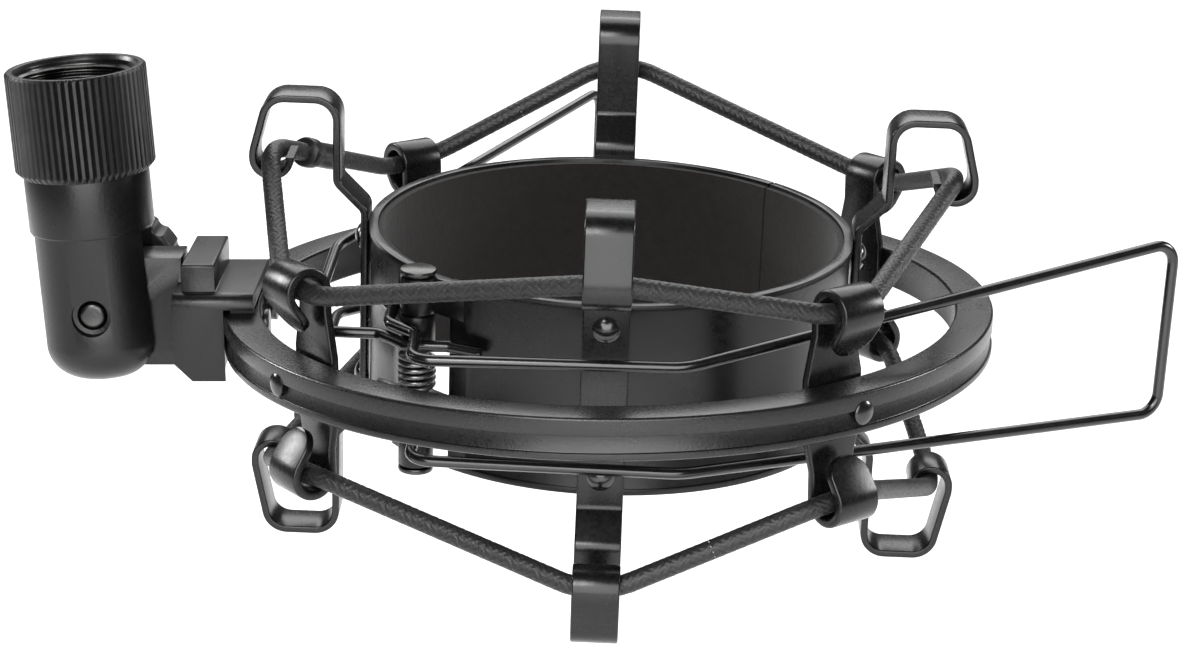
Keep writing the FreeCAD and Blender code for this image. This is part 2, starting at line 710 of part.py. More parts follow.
def make_arm_bracket():
    """Tongue, block, rib and the plate that laps over the ring, cast in one piece."""
    plate_bottom = ring_half_height + pad_thickness + 2 * face_gap
    plate_top = plate_bottom + plate_thickness
    block = box(block_left_x, -ring_inner_r, -block_half_width, block_half_width, block_bottom_z, plate_top)
    top_front = [e for e in block.Edges
                 if e.BoundBox.ZMin > plate_top - 0.01 and e.BoundBox.YLength < 0.01]
    block = block.makeFillet(plate_edge_r, top_front)
    low_corners = [e for e in block.Edges
                   if e.BoundBox.ZMax < block_bottom_z + 0.01 and e.BoundBox.XLength < 0.01]
    block = block.makeChamfer(block_corner, low_corners)
    ring_space = cylinder(ring_outer_r + 2 * face_gap, block_bottom_z - 1, plate_bottom)
    block = block.cut(ring_space)
    trim = box(plate_inner_x, 0, -block_half_width - 1, block_half_width + 1,
               block_bottom_z - 1, plate_top + 1)
    block = block.cut(trim)
    rib = box(rib_left_x, rib_right_x, -rib_half_width, rib_half_width, plate_top - 0.5, rib_top_z)
    rib_edges = [e for e in rib.Edges if e.BoundBox.ZMin > rib_top_z - 0.01]
    rib = rib.makeFillet(rib_edge_r, rib_edges)
    tongue = make_tongue()
    arm = block.fuse([rib, tongue]).removeSplitter()
    for y in (-arm_screw_y, arm_screw_y):
        arm = arm.cut(Part.makeCylinder(arm_screw_r + face_gap, arm_screw_depth,
                                        V(-ring_outer_r + 1, y, 0), V(-1, 0, 0)))
    return arm


def make_tongue():
    """The flat arm from the block into the tube's slot, round about the pivot."""
    top_r = tongue_top_z - pivot_z
    outline = [V(block_left_x + 0.5, 0, tongue_top_z), V(adapter_x, 0, tongue_top_z),
               V(adapter_x, 0, pivot_z - top_r), V(adapter_x + tongue_toe, 0, tongue_bottom_z),
               V(block_left_x + 0.5, 0, tongue_bottom_z)]
    bar = Part.Face(Part.makePolygon(outline + outline[:1])).extrude(V(0, 2 * tongue_half_width, 0))
    bar.translate(V(0, -tongue_half_width, 0))
    disc = Part.makeCylinder(top_r, 2 * tongue_half_width,
                             V(adapter_x, -tongue_half_width, pivot_z), V(0, 1, 0))
    bore = Part.makeCylinder(pivot_bolt_r + running_fit, 4 * tongue_half_width,
                             V(adapter_x, -2 * tongue_half_width, pivot_z), V(0, 1, 0))
    return bar.fuse(disc).removeSplitter().cut(bore)


def make_arm_pad():
    """A thin rubber pad between the plate and the top of the ring."""
    z0 = ring_half_height + face_gap
    z1 = z0 + pad_thickness
    ring = turned([(ring_inner_r + pad_inset, z0), (ring_outer_r - pad_inset, z0),
                   (ring_outer_r - pad_inset, z1), (ring_inner_r + pad_inset, z1)])
    half = block_half_width - pad_inset
    return ring.common(box(-ring_outer_r, 0, -half, half, z0 - 1, z1 + 1))


def make_arm_screws():
    """Two screws from inside the ring, through it and into the block."""
    screws = []
    for y in (-arm_screw_y, arm_screw_y):
        face_x = -math.sqrt((ring_inner_r) ** 2 - (abs(y) - arm_screw_head_r) ** 2)
        seat_x = -math.sqrt((ring_inner_r) ** 2 - (abs(y) + arm_screw_head_r) ** 2) + face_gap
        length = ring_outer_r - ring_inner_r + arm_screw_depth - arm_screw_spare
        shank = Part.makeCylinder(arm_screw_r, length, V(seat_x, y, 0), V(-1, 0, 0))
        head = Part.makeCylinder(arm_screw_head_r, arm_screw_head_height, V(seat_x, y, 0), V(1, 0, 0))
        screws.append(shank.fuse(head).removeSplitter())
    return group(screws)


# ---------------------------------------------------------------- build and save
def build():
    parts = {}
    parts["outer_ring"] = make_outer_ring()
    for name, azimuth in post_azimuths.items():
        parts[name + "_post"] = make_post(azimuth)
    parts["post_rivets"] = group([make_post_rivet(a) for a in post_azimuths.values()])

    for name, side in (("upper", 1), ("lower", -1)):
        cord, length = make_cord(side)
        parts[name + "_cord"] = cord
        parts[name + "_cord_sleeve"] = make_sleeve(side)
        print(name, "cord length", round(length, 1), "mm, bends", cord_bend_r, "mm")

    for name in ("front", "rear"):
        parts[name + "_shell"] = hung(make_shell(name))
        parts[name + "_liner"] = hung(make_liner(name))
        rivets = [make_rivet(hook_names[h], z) for h in shell_hooks(name) for z in (-rivet_z, rivet_z)]
        parts[name + "_shell_rivets"] = hung(group(rivets))
    for name in hook_names:
        parts[name + "_hook"] = hung(make_hook(name))
    parts["hinge_pin"] = hung(make_hinge_pin())
    parts["torsion_spring"] = hung(make_torsion_spring())
    parts["front_handle"] = hung(make_handle(front_root_z, front_tip))
    parts["rear_handle"] = hung(mirrored_across_seam(make_handle(rear_root_z, rear_tip)))

    parts["thread_collar"] = leaned(make_thread_collar())
    parts["retaining_ring"] = leaned(make_retaining_ring())
    parts["adapter_tube"] = leaned(make_adapter_tube())
    parts["pivot_bolt"] = leaned(make_pivot_bolt())
    parts["tilt_knob"] = leaned(make_tilt_knob())
    parts["friction_washers"] = make_friction_washers()
    parts["arm_bracket"] = make_arm_bracket()
    parts["arm_pad"] = make_arm_pad()
    parts["arm_screws"] = make_arm_screws()
    return parts


for part_name, part_shape in build().items():
    print(part_name, "solids", len(part_shape.Solids), "valid", part_shape.isValid(),
          "volume", round(part_shape.Volume, 2))
    save(part_name, part_shape)
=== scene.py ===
# %% [markdown]
# # A spider shock mount for a studio microphone
# A rigid ring is held by a stand adapter. Inside it a clamp basket hangs in two elastic cords,
# so that knocks on the stand don't reach the microphone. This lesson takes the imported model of
# the mount as a fixed frame and gives each piece its real edges, weave, grain and gloss.

# %% Load the frame
import math

import bmesh
import bpy
from mathutils import Matrix, Vector
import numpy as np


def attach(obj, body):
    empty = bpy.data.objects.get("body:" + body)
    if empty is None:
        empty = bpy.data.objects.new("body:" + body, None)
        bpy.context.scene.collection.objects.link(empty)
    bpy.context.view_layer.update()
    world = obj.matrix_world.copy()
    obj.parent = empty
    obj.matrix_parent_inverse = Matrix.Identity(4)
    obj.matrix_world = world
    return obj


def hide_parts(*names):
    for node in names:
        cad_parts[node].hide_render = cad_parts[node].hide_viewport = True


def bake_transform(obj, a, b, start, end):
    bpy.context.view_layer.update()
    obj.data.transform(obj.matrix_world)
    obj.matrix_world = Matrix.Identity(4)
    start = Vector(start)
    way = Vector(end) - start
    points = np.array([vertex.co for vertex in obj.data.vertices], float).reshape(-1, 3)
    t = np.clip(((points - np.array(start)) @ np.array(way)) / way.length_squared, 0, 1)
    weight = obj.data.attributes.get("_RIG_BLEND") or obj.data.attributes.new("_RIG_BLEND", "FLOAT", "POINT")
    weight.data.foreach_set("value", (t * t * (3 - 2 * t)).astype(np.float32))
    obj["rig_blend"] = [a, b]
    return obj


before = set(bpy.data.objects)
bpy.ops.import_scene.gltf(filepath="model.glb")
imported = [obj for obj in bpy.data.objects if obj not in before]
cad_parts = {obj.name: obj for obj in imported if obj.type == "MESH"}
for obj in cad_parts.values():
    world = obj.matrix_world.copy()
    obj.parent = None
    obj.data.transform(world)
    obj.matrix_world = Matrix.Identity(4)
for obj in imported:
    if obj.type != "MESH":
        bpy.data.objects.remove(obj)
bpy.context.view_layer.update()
MM = 0.001
print("nodes in the frame:", len(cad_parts))

# %% [markdown]
# ## Camera, floor and light
# The mount is small, so the camera stands a forearm's length away with a short telephoto lens and
# looks a little down. Black paint shows only what it mirrors. A wide soft light above and behind
# draws the top faces and the wire. Two weaker ones in front, one high and one low, keep the
# sides readable, and a small one at each side draws the rims. The Standard view leaves every
# tone as it is written here.

# %% Camera
VIEW_TARGET = Vector((-2.45, 0.0, -1.92)) * MM
VIEW_DISTANCE = 372.7 * MM
VIEW_DOWN = math.radians(16.97)
VIEW_LENS = 82.37
back_from_target = Vector((0, -math.cos(VIEW_DOWN), math.sin(VIEW_DOWN)))


def turned_to(place, target):
    """The rotation that points a camera or a lamp at place towards target."""
    return (target - place).to_track_quat("-Z", "Y").to_euler()


def add_to_scene(thing):
    """Link a new object to the scene, and hand it back."""
    bpy.context.scene.collection.objects.link(thing)
    return thing


camera_data = bpy.data.cameras.new("studio_camera")
camera_data.lens = VIEW_LENS
camera_data.sensor_width = 36.0
camera_data.clip_start = 0.01
camera = bpy.data.objects.new("studio_camera", camera_data)
camera.location = VIEW_TARGET + back_from_target * VIEW_DISTANCE
camera.rotation_euler = turned_to(camera.location, VIEW_TARGET)
add_to_scene(camera)
bpy.context.scene.camera = camera

# %% Floor
FLOOR_Z = -150 * MM
FLOOR_SIZE = 12.0


def smooth(mesh):
    mesh.polygons.foreach_set("use_smooth", [True] * len(mesh.polygons))


def mesh_object(name, points, faces):
    """A new object from points in metres and faces, with every face smooth."""
    mesh = bpy.data.meshes.new(name)
    mesh.from_pydata([tuple(p) for p in points], [], faces)
    mesh.validate()
    smooth(mesh)
    return add_to_scene(bpy.data.objects.new(name, mesh))


half_floor = FLOOR_SIZE / 2
floor_corners = [(-half_floor, -half_floor, FLOOR_Z), (half_floor, -half_floor, FLOOR_Z),
                 (half_floor, half_floor, FLOOR_Z), (-half_floor, half_floor, FLOOR_Z)]
floor = mesh_object("studio_floor", floor_corners, [(0, 1, 2, 3)])

# %% Lights
SOFTBOXES = {
    # name: (place in metres, the point it faces, size in metres, watts)
    "back_ceiling": ((0.0, 0.80, 0.80), (0.0, 0.45, -0.15), 1.2, 17.0),
    "front_high": ((-0.2, -0.7, 0.60), (0.0, 0.0, 0.0), 0.3, 5.0),
    "front_floor": ((0.0, -0.55, 0.1), (0.0, -0.3, -0.15), 0.5, 5.0),
    "right_rim": ((0.75, 0.1, 0.25), (0.0, 0.0, 0.0), 0.22, 4.0),
    "left_rim": ((-0.7, 0.25, 0.3), (0.0, 0.0, 0.0), 0.22, 4.0),
}
for lamp_name, (place, facing, size, watts) in SOFTBOXES.items():
    lamp_data = bpy.data.lights.new(lamp_name, "AREA")
    lamp_data.size = size
    lamp_data.energy = watts
    lamp = bpy.data.objects.new(lamp_name, lamp_data)
    lamp.location = Vector(place)
    lamp.rotation_euler = turned_to(lamp.location, Vector(facing))
    add_to_scene(lamp)

WORLD_STRENGTH = 0.14
world = bpy.data.worlds.new("studio_air")
bpy.context.scene.world = world
bpy.context.scene.view_settings.view_transform = "Standard"
world.use_nodes = True
background = world.node_tree.nodes["Background"]
background.inputs["Color"].default_value = (1.0, 1.0, 1.0, 1.0)
background.inputs["Strength"].default_value = WORLD_STRENGTH
print("lights:", ", ".join(SOFTBOXES))

# %% [markdown]
# ## A small kit for node trees
# Materials and Geometry Nodes are both trees of nodes. `Graph.node` makes any node from its type,
# its settings and its inputs. `Signal` wraps an output socket, so that arithmetic reads as
# arithmetic: each operator adds one Math node.


# %% Node kit
class Signal:
    """One output socket of a node tree."""

    def __init__(self, graph, socket):
        self.graph = graph
        self.socket = socket

    def out(self, name):
        """Another output of the same node."""
        return Signal(self.graph, self.socket.node.outputs[name])

    def math(self, operation, *others):
        return self.graph.node("ShaderNodeMath", {"operation": operation}, [self, *others])

    def __add__(self, other):
        return self.math("ADD", other)

    def __sub__(self, other):
        return self.math("SUBTRACT", other)

    def __mul__(self, other):
        return self.math("MULTIPLY", other)

    def __truediv__(self, other):
        return self.math("DIVIDE", other)

    def __rsub__(self, other):
        return self.graph.node("ShaderNodeMath", {"operation": "SUBTRACT"}, [other, self])

    __radd__ = __add__
    __rmul__ = __mul__


class Graph:
    """A node tree and the one method that adds to it."""

    def __init__(self, tree):
        self.tree = tree

    def node(self, kind, settings=None, inputs=None):
        made = self.tree.nodes.new(kind)
        for key, value in (settings or {}).items():
            if key == "stops":
                for element, (position, shade) in zip(made.color_ramp.elements, value):
                    element.position = position
                    element.color = (shade, shade, shade, 1.0)
            elif key == "captures":
                for item in value:
                    made.capture_items.new("FLOAT", item)
            else:
                setattr(made, key, value)
        pairs = inputs.items() if isinstance(inputs, dict) else enumerate(inputs or [])
        for key, value in pairs:
            if isinstance(value, Signal):
                self.tree.links.new(value.socket, made.inputs[key])
            else:
                made.inputs[key].default_value = value
        return Signal(self, made.outputs[0]) if made.outputs else made

    def noise(self, scale, detail=2.0, vector=None):
        """Soft noise of value about 0.5; scale counts blobs per metre."""
        place = vector or self.node("ShaderNodeTexCoord").out("Object")
        return self.node("ShaderNodeTexNoise", None,
                         {"Vector": place, "Scale": scale, "Detail": detail})

    def stretched(self, factors):
        """Object coordinates, stretched along each axis."""
        place = self.node("ShaderNodeTexCoord").out("Object")
        return self.node("ShaderNodeVectorMath", {"operation": "MULTIPLY"}, [place, factors])

    def ramp(self, value, low, high):
        """0 below low and 1 above high."""
        return self.node("ShaderNodeMapRange", {"interpolation_type": "SMOOTHSTEP"},
                         {"Value": value, "From Min": low, "From Max": high})

    def mixed(self, factor, first, second):
        """A colour between two colours."""
        mix = self.node("ShaderNodeMix", {"data_type": "RGBA"}, {0: factor, 6: first, 7: second})
        return mix.out("Result")

    def bump(self, height, depth, under=None):
        """A normal from a height of 0 to 1, depth metres high."""
        inputs = {"Height": height, "Distance": depth, "Strength": 1.0}
        if under:
            inputs["Normal"] = under
        return self.node("ShaderNodeBump", None, inputs)


def shade(value, tint=(1.0, 1.0, 1.0)):
    """A dark neutral colour with a slight tint."""
    return (value * tint[0], value * tint[1], value * tint[2], 1.0)


# %% [markdown]
# ## Finishes
# Nearly everything is black, so the finishes differ in grain and gloss, not in colour.
# Powder coat is satin with a fine leathery grain, because the powder melts in place. Bent strip
# and wire are dipped and smoother. The braid is matt, with painted shade that darkens the gaps
# between its strands.


# %% Surface maker
def new_material(name):
    material = bpy.data.materials.new(name)
    material.use_nodes = True
    material.node_tree.nodes.clear()
    return material, Graph(material.node_tree)


def close_material(graph, **sockets):
    """Add the shader, with its sockets by their names, and the output."""
    inputs = {key.replace("_", " "): value for key, value in sockets.items()}
    shader = graph.node("ShaderNodeBsdfPrincipled", None, inputs)
    graph.node("ShaderNodeOutputMaterial", None, {"Surface": shader})


# %% Powder coat and paint
COAT_TINT = (1.0, 1.0, 1.06)


def coated_metal(name, tone, rough, grain_mm, grain_depth_um, wear=0.35, shine=0.28):
    """Black coating on metal: a fine grain, faint blotches in its gloss, and rub marks."""
    material, graph = new_material(name)
    grain = graph.noise(1 / (grain_mm * MM), 3.0)
    blotch = graph.noise(110.0, 3.0)
    streak = graph.noise(900.0, 2.0, graph.stretched((0.12, 1.0, 0.25)))
    rubbed = graph.ramp(streak, 0.66, 0.8) * wear
    base = graph.mixed(graph.ramp(grain, 0.3, 0.7),
                       shade(tone * 0.75, COAT_TINT), shade(tone * 1.3, COAT_TINT))
    worn = graph.mixed(rubbed, base, shade(tone * 3.2))
    roughness = rough + (blotch - 0.5) * 0.16 + (grain - 0.5) * 0.14 + rubbed * 0.08
    relief = graph.bump(grain, grain_depth_um * 1e-6)
    close_material(graph, Base_Color=worn, Roughness=roughness, Metallic=0.0,
                   Specular_IOR_Level=shine, Normal=relief)
    return material


# name, tone, roughness, size of the grain in mm, its depth in thousandths of a mm
powder_coat = coated_metal("powder_coat", 0.0030, 0.32, 0.42, 24.0, shine=0.3)
ring_coat = coated_metal("ring_coat", 0.0030, 0.29, 0.38, 20.0, shine=0.4)
strip_coat = coated_metal("strip_coat", 0.0022, 0.27, 0.6, 9.0, shine=0.32)
shell_coat = coated_metal("shell_coat", 0.0020, 0.30, 0.8, 8.0, wear=0.25)
wire_coat = coated_metal("wire_coat", 0.0022, 0.22, 0.9, 6.0, wear=0.2, shine=0.55)
rivet_coat = coated_metal("rivet_coat", 0.0025, 0.2, 0.7, 5.0, wear=0.5, shine=0.6)

# %% [markdown]
# Bare metal shows only inside the joints. It is blackened, so it keeps a metal's mirror but in a
# dark tone, with fine turning lines.


# %% Bare metal
def bare_metal(name, tone, rough, lines_mm):
    """Blackened or sprung steel with fine lines across it."""
    material, graph = new_material(name)
    lines = graph.noise(1 / (lines_mm * MM), 2.0, graph.stretched((0.3, 0.3, 3.0)))
    film = graph.noise(450.0, 3.0)
    base = graph.mixed(graph.ramp(film, 0.35, 0.7),
                       shade(tone * 0.7), shade(tone * 1.3, (1.0, 0.98, 0.95)))
    close_material(graph, Base_Color=base, Roughness=rough + (film - 0.5) * 0.2, Metallic=1.0,
                   Normal=graph.bump(lines, 4e-6))
    return material


black_steel = bare_metal("black_steel", 0.055, 0.28, 0.25)
spring_steel = bare_metal("spring_steel", 0.16, 0.3, 0.2)

# %% [markdown]
# The felt in the basket, the rubber tube over the cord's joint and the moulded knob have no metal
# under them. Felt scatters light, so it gets a sheen and a deep fuzzy relief.


# %% Felt, rubber and plastic
def felt(name):
    """Flocked felt: clumps of fibre, and pale flecks where single fibres stand up."""
    material, graph = new_material(name)
    fuzz = graph.noise(5200.0, 4.0)
    clumps = graph.noise(900.0, 3.0)
    base = graph.mixed(graph.ramp(clumps, 0.2, 0.8),
                       (0.0050, 0.0042, 0.0037, 1), (0.0075, 0.0062, 0.0055, 1))
    flecked = graph.mixed(graph.ramp(fuzz, 0.62, 0.75) * 0.5, base, (0.026, 0.022, 0.02, 1))
    relief = graph.bump(fuzz, 90e-6, graph.bump(clumps, 60e-6))
    close_material(graph, Base_Color=flecked, Roughness=0.92, Specular_IOR_Level=0.12,
                   Sheen_Weight=0.08, Sheen_Roughness=0.5, Normal=relief)
    return material


def moulded(name, tone, rough, grain_mm, depth_um):
    """Rubber or plastic: an even skin with a fine moulded grain."""
    material, graph = new_material(name)
    grain = graph.noise(1 / (grain_mm * MM), 2.0)
    haze = graph.noise(160.0, 2.0)
    base = graph.mixed(graph.ramp(haze, 0.3, 0.7), shade(tone * 0.8), shade(tone * 1.25))
    close_material(graph, Base_Color=base, Roughness=rough + (haze - 0.5) * 0.15,
                   Specular_IOR_Level=0.35, Normal=graph.bump(grain, depth_um * 1e-6))
    return material


liner_felt = felt("liner_felt")
sleeve_rubber = moulded("sleeve_rubber", 0.005, 0.36, 0.9, 9.0)
pad_rubber = moulded("pad_rubber", 0.011, 0.6, 0.4, 12.0)
knob_plastic = moulded("knob_plastic", 0.011, 0.45, 0.35, 12.0)
washer_fibre = moulded("washer_fibre", 0.035, 0.65, 0.3, 10.0)


# %% Braid and knurl
def braid(name):
    """Woven cord: the geometry stores how far each point stands out in the attribute lift."""
    material, graph = new_material(name)
    lift = graph.node("ShaderNodeAttribute", {"attribute_name": "lift"}).out("Fac")
    fibres = graph.noise(7000.0, 3.0)
    # Painted shade: the colour is dark in the gaps between strands, where lift is low, and lighter on the
    # strand tops.
    tone = graph.mixed(graph.ramp(lift, 0.1, 0.9),
                       (0.0012, 0.0012, 0.0013, 1), (0.0085, 0.0085, 0.009, 1))
    hairy = graph.mixed(graph.ramp(fibres, 0.55, 0.75) * 0.5, tone, (0.02, 0.02, 0.021, 1))
    close_material(graph, Base_Color=hairy, Roughness=0.5 - lift * 0.15, Sheen_Weight=0.05,
                   Specular_IOR_Level=0.32, Sheen_Roughness=0.4, Normal=graph.bump(fibres, 50e-6))
    return material


def knurled_metal(name):
    """Coated collar: painted highlight on flute crests, painted shade in grooves, rub wear on crests."""
    material, graph = new_material(name)
    crest = graph.node("ShaderNodeAttribute", {"attribute_name": "crest"}).out("Fac")
    grain = graph.noise(2200.0, 3.0)
    rub = graph.ramp(graph.noise(300.0, 3.0), 0.45, 0.7) * crest
    # Painted highlight and shade: crests coloured lighter and grooves darker all round.
    base = graph.mixed(crest, shade(0.0015), shade(0.0045, (1.0, 1.0, 1.05)))
    worn = graph.mixed(rub * 0.35, base, shade(0.02))
    close_material(graph, Base_Color=worn, Roughness=0.38 - rub * 0.1, Specular_IOR_Level=0.3,
                   Normal=graph.bump(grain, 14e-6))
    return material


cord_braid = braid("cord_braid")
collar_coat = knurled_metal("collar_coat")
floor_paper, floor_graph = new_material("floor_paper")
paper_tone = floor_graph.mixed(floor_graph.noise(30.0, 2.0), shade(0.86), shade(0.9))
close_material(floor_graph, Roughness=0.9, Base_Color=paper_tone)
floor.data.materials.append(floor_paper)
print("materials:", len(bpy.data.materials))

# %% [markdown]
# ## Shapes: routes, tubes and strips
# The mount is mostly bent stock: wire, strip and cord. Each follows a route of straight runs and
# tangent bends, so the route is worked out once and a section is then carried along it.


# %% Routes
BEND_STEP = math.radians(7.5)


def bent_route(corners, radii, step=BEND_STEP):
    """Points along straight runs that are joined by tangent arcs at the inner corners."""
    points = [corners[0].copy()]
    for before, corner, after, radius in zip(corners, corners[1:], corners[2:], radii):
        a = (before - corner).normalized()
        b = (after - corner).normalized()
        half = a.angle(b) / 2
        start = corner + a * (radius / math.tan(half))
        centre = corner + (a + b).normalized() * (radius / math.sin(half))
        arm = start - centre
        axis = arm.cross(corner + b * (radius / math.tan(half)) - centre).normalized()
        sweep = math.pi - 2 * half
        count = max(2, math.ceil(sweep / step))
        points += [centre + Matrix.Rotation(sweep * i / count, 3, axis) @ arm for i in range(count + 1)]
    points.append(corners[-1].copy())
    return points


def tangents(points):
    """The direction of travel at each point."""
    last = len(points) - 1
    return [(points[min(i + 1, last)] - points[max(i - 1, 0)]).normalized() for i in range(last + 1)]


# %% Wire
def ring_faces(rings, sides, closed_ends=True):
    """Quads between rings of points, with a cap at each end."""
    faces = []
    for i in range(rings - 1):
        for j in range(sides):
            k = (j + 1) % sides
            faces.append((i * sides + j, i * sides + k, (i + 1) * sides + k, (i + 1) * sides + j))
    if closed_ends:
        faces.append(tuple(reversed(range(sides))))
        faces.append(tuple((rings - 1) * sides + j for j in range(sides)))
    return faces


END_ROUND = 0.35


def wire(name, route, radius, sides=20):
    """Round wire along a route, with its cut ends slightly rounded."""
    directions = tangents(route)
    side = directions[0].orthogonal().normalized()
    rings = []
    for i, (point, direction) in enumerate(zip(route, directions)):
        if i:
            side = directions[i - 1].rotation_difference(direction) @ side
        side = (side - direction * side.dot(direction)).normalized()
        rings.append((point, direction, side.copy(), radius))
    ease = radius * END_ROUND
    first, last = rings[0], rings[-1]
    rings[0] = (first[0] + first[1] * ease, first[1], first[2], radius)
    rings.insert(0, (first[0], first[1], first[2], radius - ease))
    rings[-1] = (last[0] - last[1] * ease, last[1], last[2], radius)
    rings.append((last[0], last[1], last[2], radius - ease))
    points = []
    for point, direction, side, r in rings:
        across = direction.cross(side)
        for j in range(sides):
            angle = 2 * math.pi * j / sides
            points.append(point + (side * math.cos(angle) + across * math.sin(angle)) * r)
    return mesh_object(name, points, ring_faces(len(rings), sides))


# %% Strip
def rounded_section(width, thickness, radius, steps=3):
    """Corners of a flat bar's section, as (across, through) pairs going round."""
    pairs = []
    for sign_a, sign_b, start in ((1, 1, 0), (-1, 1, 90), (-1, -1, 180), (1, -1, 270)):
        for i in range(steps + 1):
            angle = math.radians(start + 90 * i / steps)
            pairs.append((sign_a * (width / 2 - radius) + radius * math.cos(angle),
                          sign_b * (thickness / 2 - radius) + radius * math.sin(angle)))
    return pairs


def strip(name, route, widths, thickness, edge):
    """A flat bar bent along a route in the XZ plane; its width may change along the route."""
    points = []
    for point, direction, width in zip(route, tangents(route), widths):
        through = Vector((-direction.z, 0, direction.x))
        radius = min(edge, width * 0.45, thickness * 0.45)
        for across, depth in rounded_section(width, thickness, radius):
            points.append(point + Vector((0, across, 0)) + through * depth)
    sides = len(rounded_section(1, 1, 0.1))
    made = mesh_object(name, points, ring_faces(len(route), sides))
    recalculate_normals(made)
    return made


def recalculate_normals(piece):
    """Merge doubles and point every face outwards."""
    shape = bmesh.new()
    shape.from_mesh(piece.data)
    bmesh.ops.remove_doubles(shape, verts=shape.verts, dist=1e-7)
    bmesh.ops.recalc_face_normals(shape, faces=shape.faces)
    shape.to_mesh(piece.data)
    shape.free()
    smooth(piece.data)


# %% [markdown]
# Turned parts are lathe work: an outline is spun round the axis. A corner on the outline is first
# cut into a small arc, because no real edge is perfectly sharp and the arc is what catches light.


# %% Lathe
def in_metres(outline):
    return [(r * MM, z * MM) for r, z in outline]


def softened_outline(outline, radius, steps=3):
    """A closed outline of (r, z) with each corner rounded."""
    soft = []
    count = len(outline)
    for i in range(count):
        corner = Vector((*outline[i], 0))
        before = Vector((*outline[i - 1], 0)) - corner
        after = Vector((*outline[(i + 1) % count], 0)) - corner
        reach = min(radius, before.length * 0.45, after.length * 0.45)
        a = corner + before.normalized() * reach
        b = corner + after.normalized() * reach
        for j in range(steps + 1):
            t = j / steps
            soft.append((a * (1 - t) ** 2 + corner * 2 * t * (1 - t) + b * t ** 2)[:2])
    return soft


def lathe(name, outline, segments, start=0.0, angle=360.0, centre=(0.0, 0.0)):
    """Spin a closed outline of (r, z) in metres about Z; under 360 degrees it gets end faces."""
    whole = angle > 359.9
    stations = segments if whole else segments + 1
    points = []
    for i in range(stations):
        a = math.radians(start + angle * i / segments)
        points += [(centre[0] + r * math.cos(a), centre[1] + r * math.sin(a), z) for r, z in outline]
    sides = len(outline)
    faces = ring_faces(stations, sides, not whole)
    if whole:
        last = (stations - 1) * sides
        faces += [(last + j, last + (j + 1) % sides, (j + 1) % sides, j) for j in range(sides)]
    made = mesh_object(name, points, faces)
    recalculate_normals(made)
    return made


# %% Settling a piece
BASKET_PITCH, BASKET_ROLL, BASKET_YAW = 3.0, 2.0, -1.3
ADAPTER_LEAN = -3.1
PIVOT = Vector((-69.75, 0.0, 1.8)) * MM
CREASE = math.radians(32)


def rotation(axis, degrees):
    return Matrix.Rotation(math.radians(degrees), 4, axis)


BASKET_TURN = (rotation("X", BASKET_PITCH) @ rotation("Y", BASKET_ROLL)
               @ rotation("Z", BASKET_YAW))
ADAPTER_TURN = (Matrix.Translation(PIVOT) @ rotation("Y", ADAPTER_LEAN)
                @ Matrix.Translation(-PIVOT))


def settle(piece, body, material, slot, *nodes):
    """Give a piece its finish and its body, and hide the frame nodes it stands for."""
    piece.data.materials.clear()
    piece.data.materials.append(material)
    piece.data.set_sharp_from_angle(angle=CREASE)
    if body:
        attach(piece, body)
    if nodes:
        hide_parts(*nodes)
    return piece


def about_z(piece, degrees):
    piece.data.transform(rotation("Z", degrees))
    return piece


def hang(piece):
    """Basket parts are made level and then turned the way the basket hangs."""
    piece.data.transform(BASKET_TURN)
    return piece


def lean(piece):
    """Adapter parts are made upright and then leaned about the tilt pivot."""
    piece.data.transform(ADAPTER_TURN)
    return piece


# %% [markdown]
# ## Frame parts that only need softer edges
# A casting such as the arm already has the right shape. A copy of its node is merged, its flat
# faces are joined, and a narrow bevel rounds its edges. Bevel works on the copy because a
# node's own mesh is loose triangles.


# %% Softened copies
FLAT_ANGLE = math.radians(0.5)
EDGE_ANGLE = math.radians(35)
MERGE_WITHIN = 2e-6


def baked(source, name):
    """Keep what an object's modifiers make of it as a plain new object."""
    depsgraph = bpy.context.evaluated_depsgraph_get()
    mesh = bpy.data.meshes.new_from_object(source.evaluated_get(depsgraph), depsgraph=depsgraph)
    bpy.data.objects.remove(source)
    return add_to_scene(bpy.data.objects.new(name, mesh))


def softened_copy(name, node, bevel_mm):
    """A copy of a node with rounded edges."""
    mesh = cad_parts[node].data.copy()
    shape = bmesh.new()
    shape.from_mesh(mesh)
    bmesh.ops.remove_doubles(shape, verts=shape.verts, dist=MERGE_WITHIN)
    bmesh.ops.dissolve_limit(shape, angle_limit=FLAT_ANGLE, verts=shape.verts, edges=shape.edges)
    shape.to_mesh(mesh)
    shape.free()
    if "custom_normal" in mesh.attributes.keys():
        mesh.attributes.remove(mesh.attributes["custom_normal"])
    smooth(mesh)
    rough = add_to_scene(bpy.data.objects.new(name + "_rough", mesh))
    modifier = rough.modifiers.new("edges", "BEVEL")
    modifier.width = bevel_mm * MM
    modifier.segments = 2
    modifier.limit_method = "ANGLE"
    modifier.angle_limit = EDGE_ANGLE
    modifier.miter_outer = "MITER_ARC"
    return baked(rough, name)


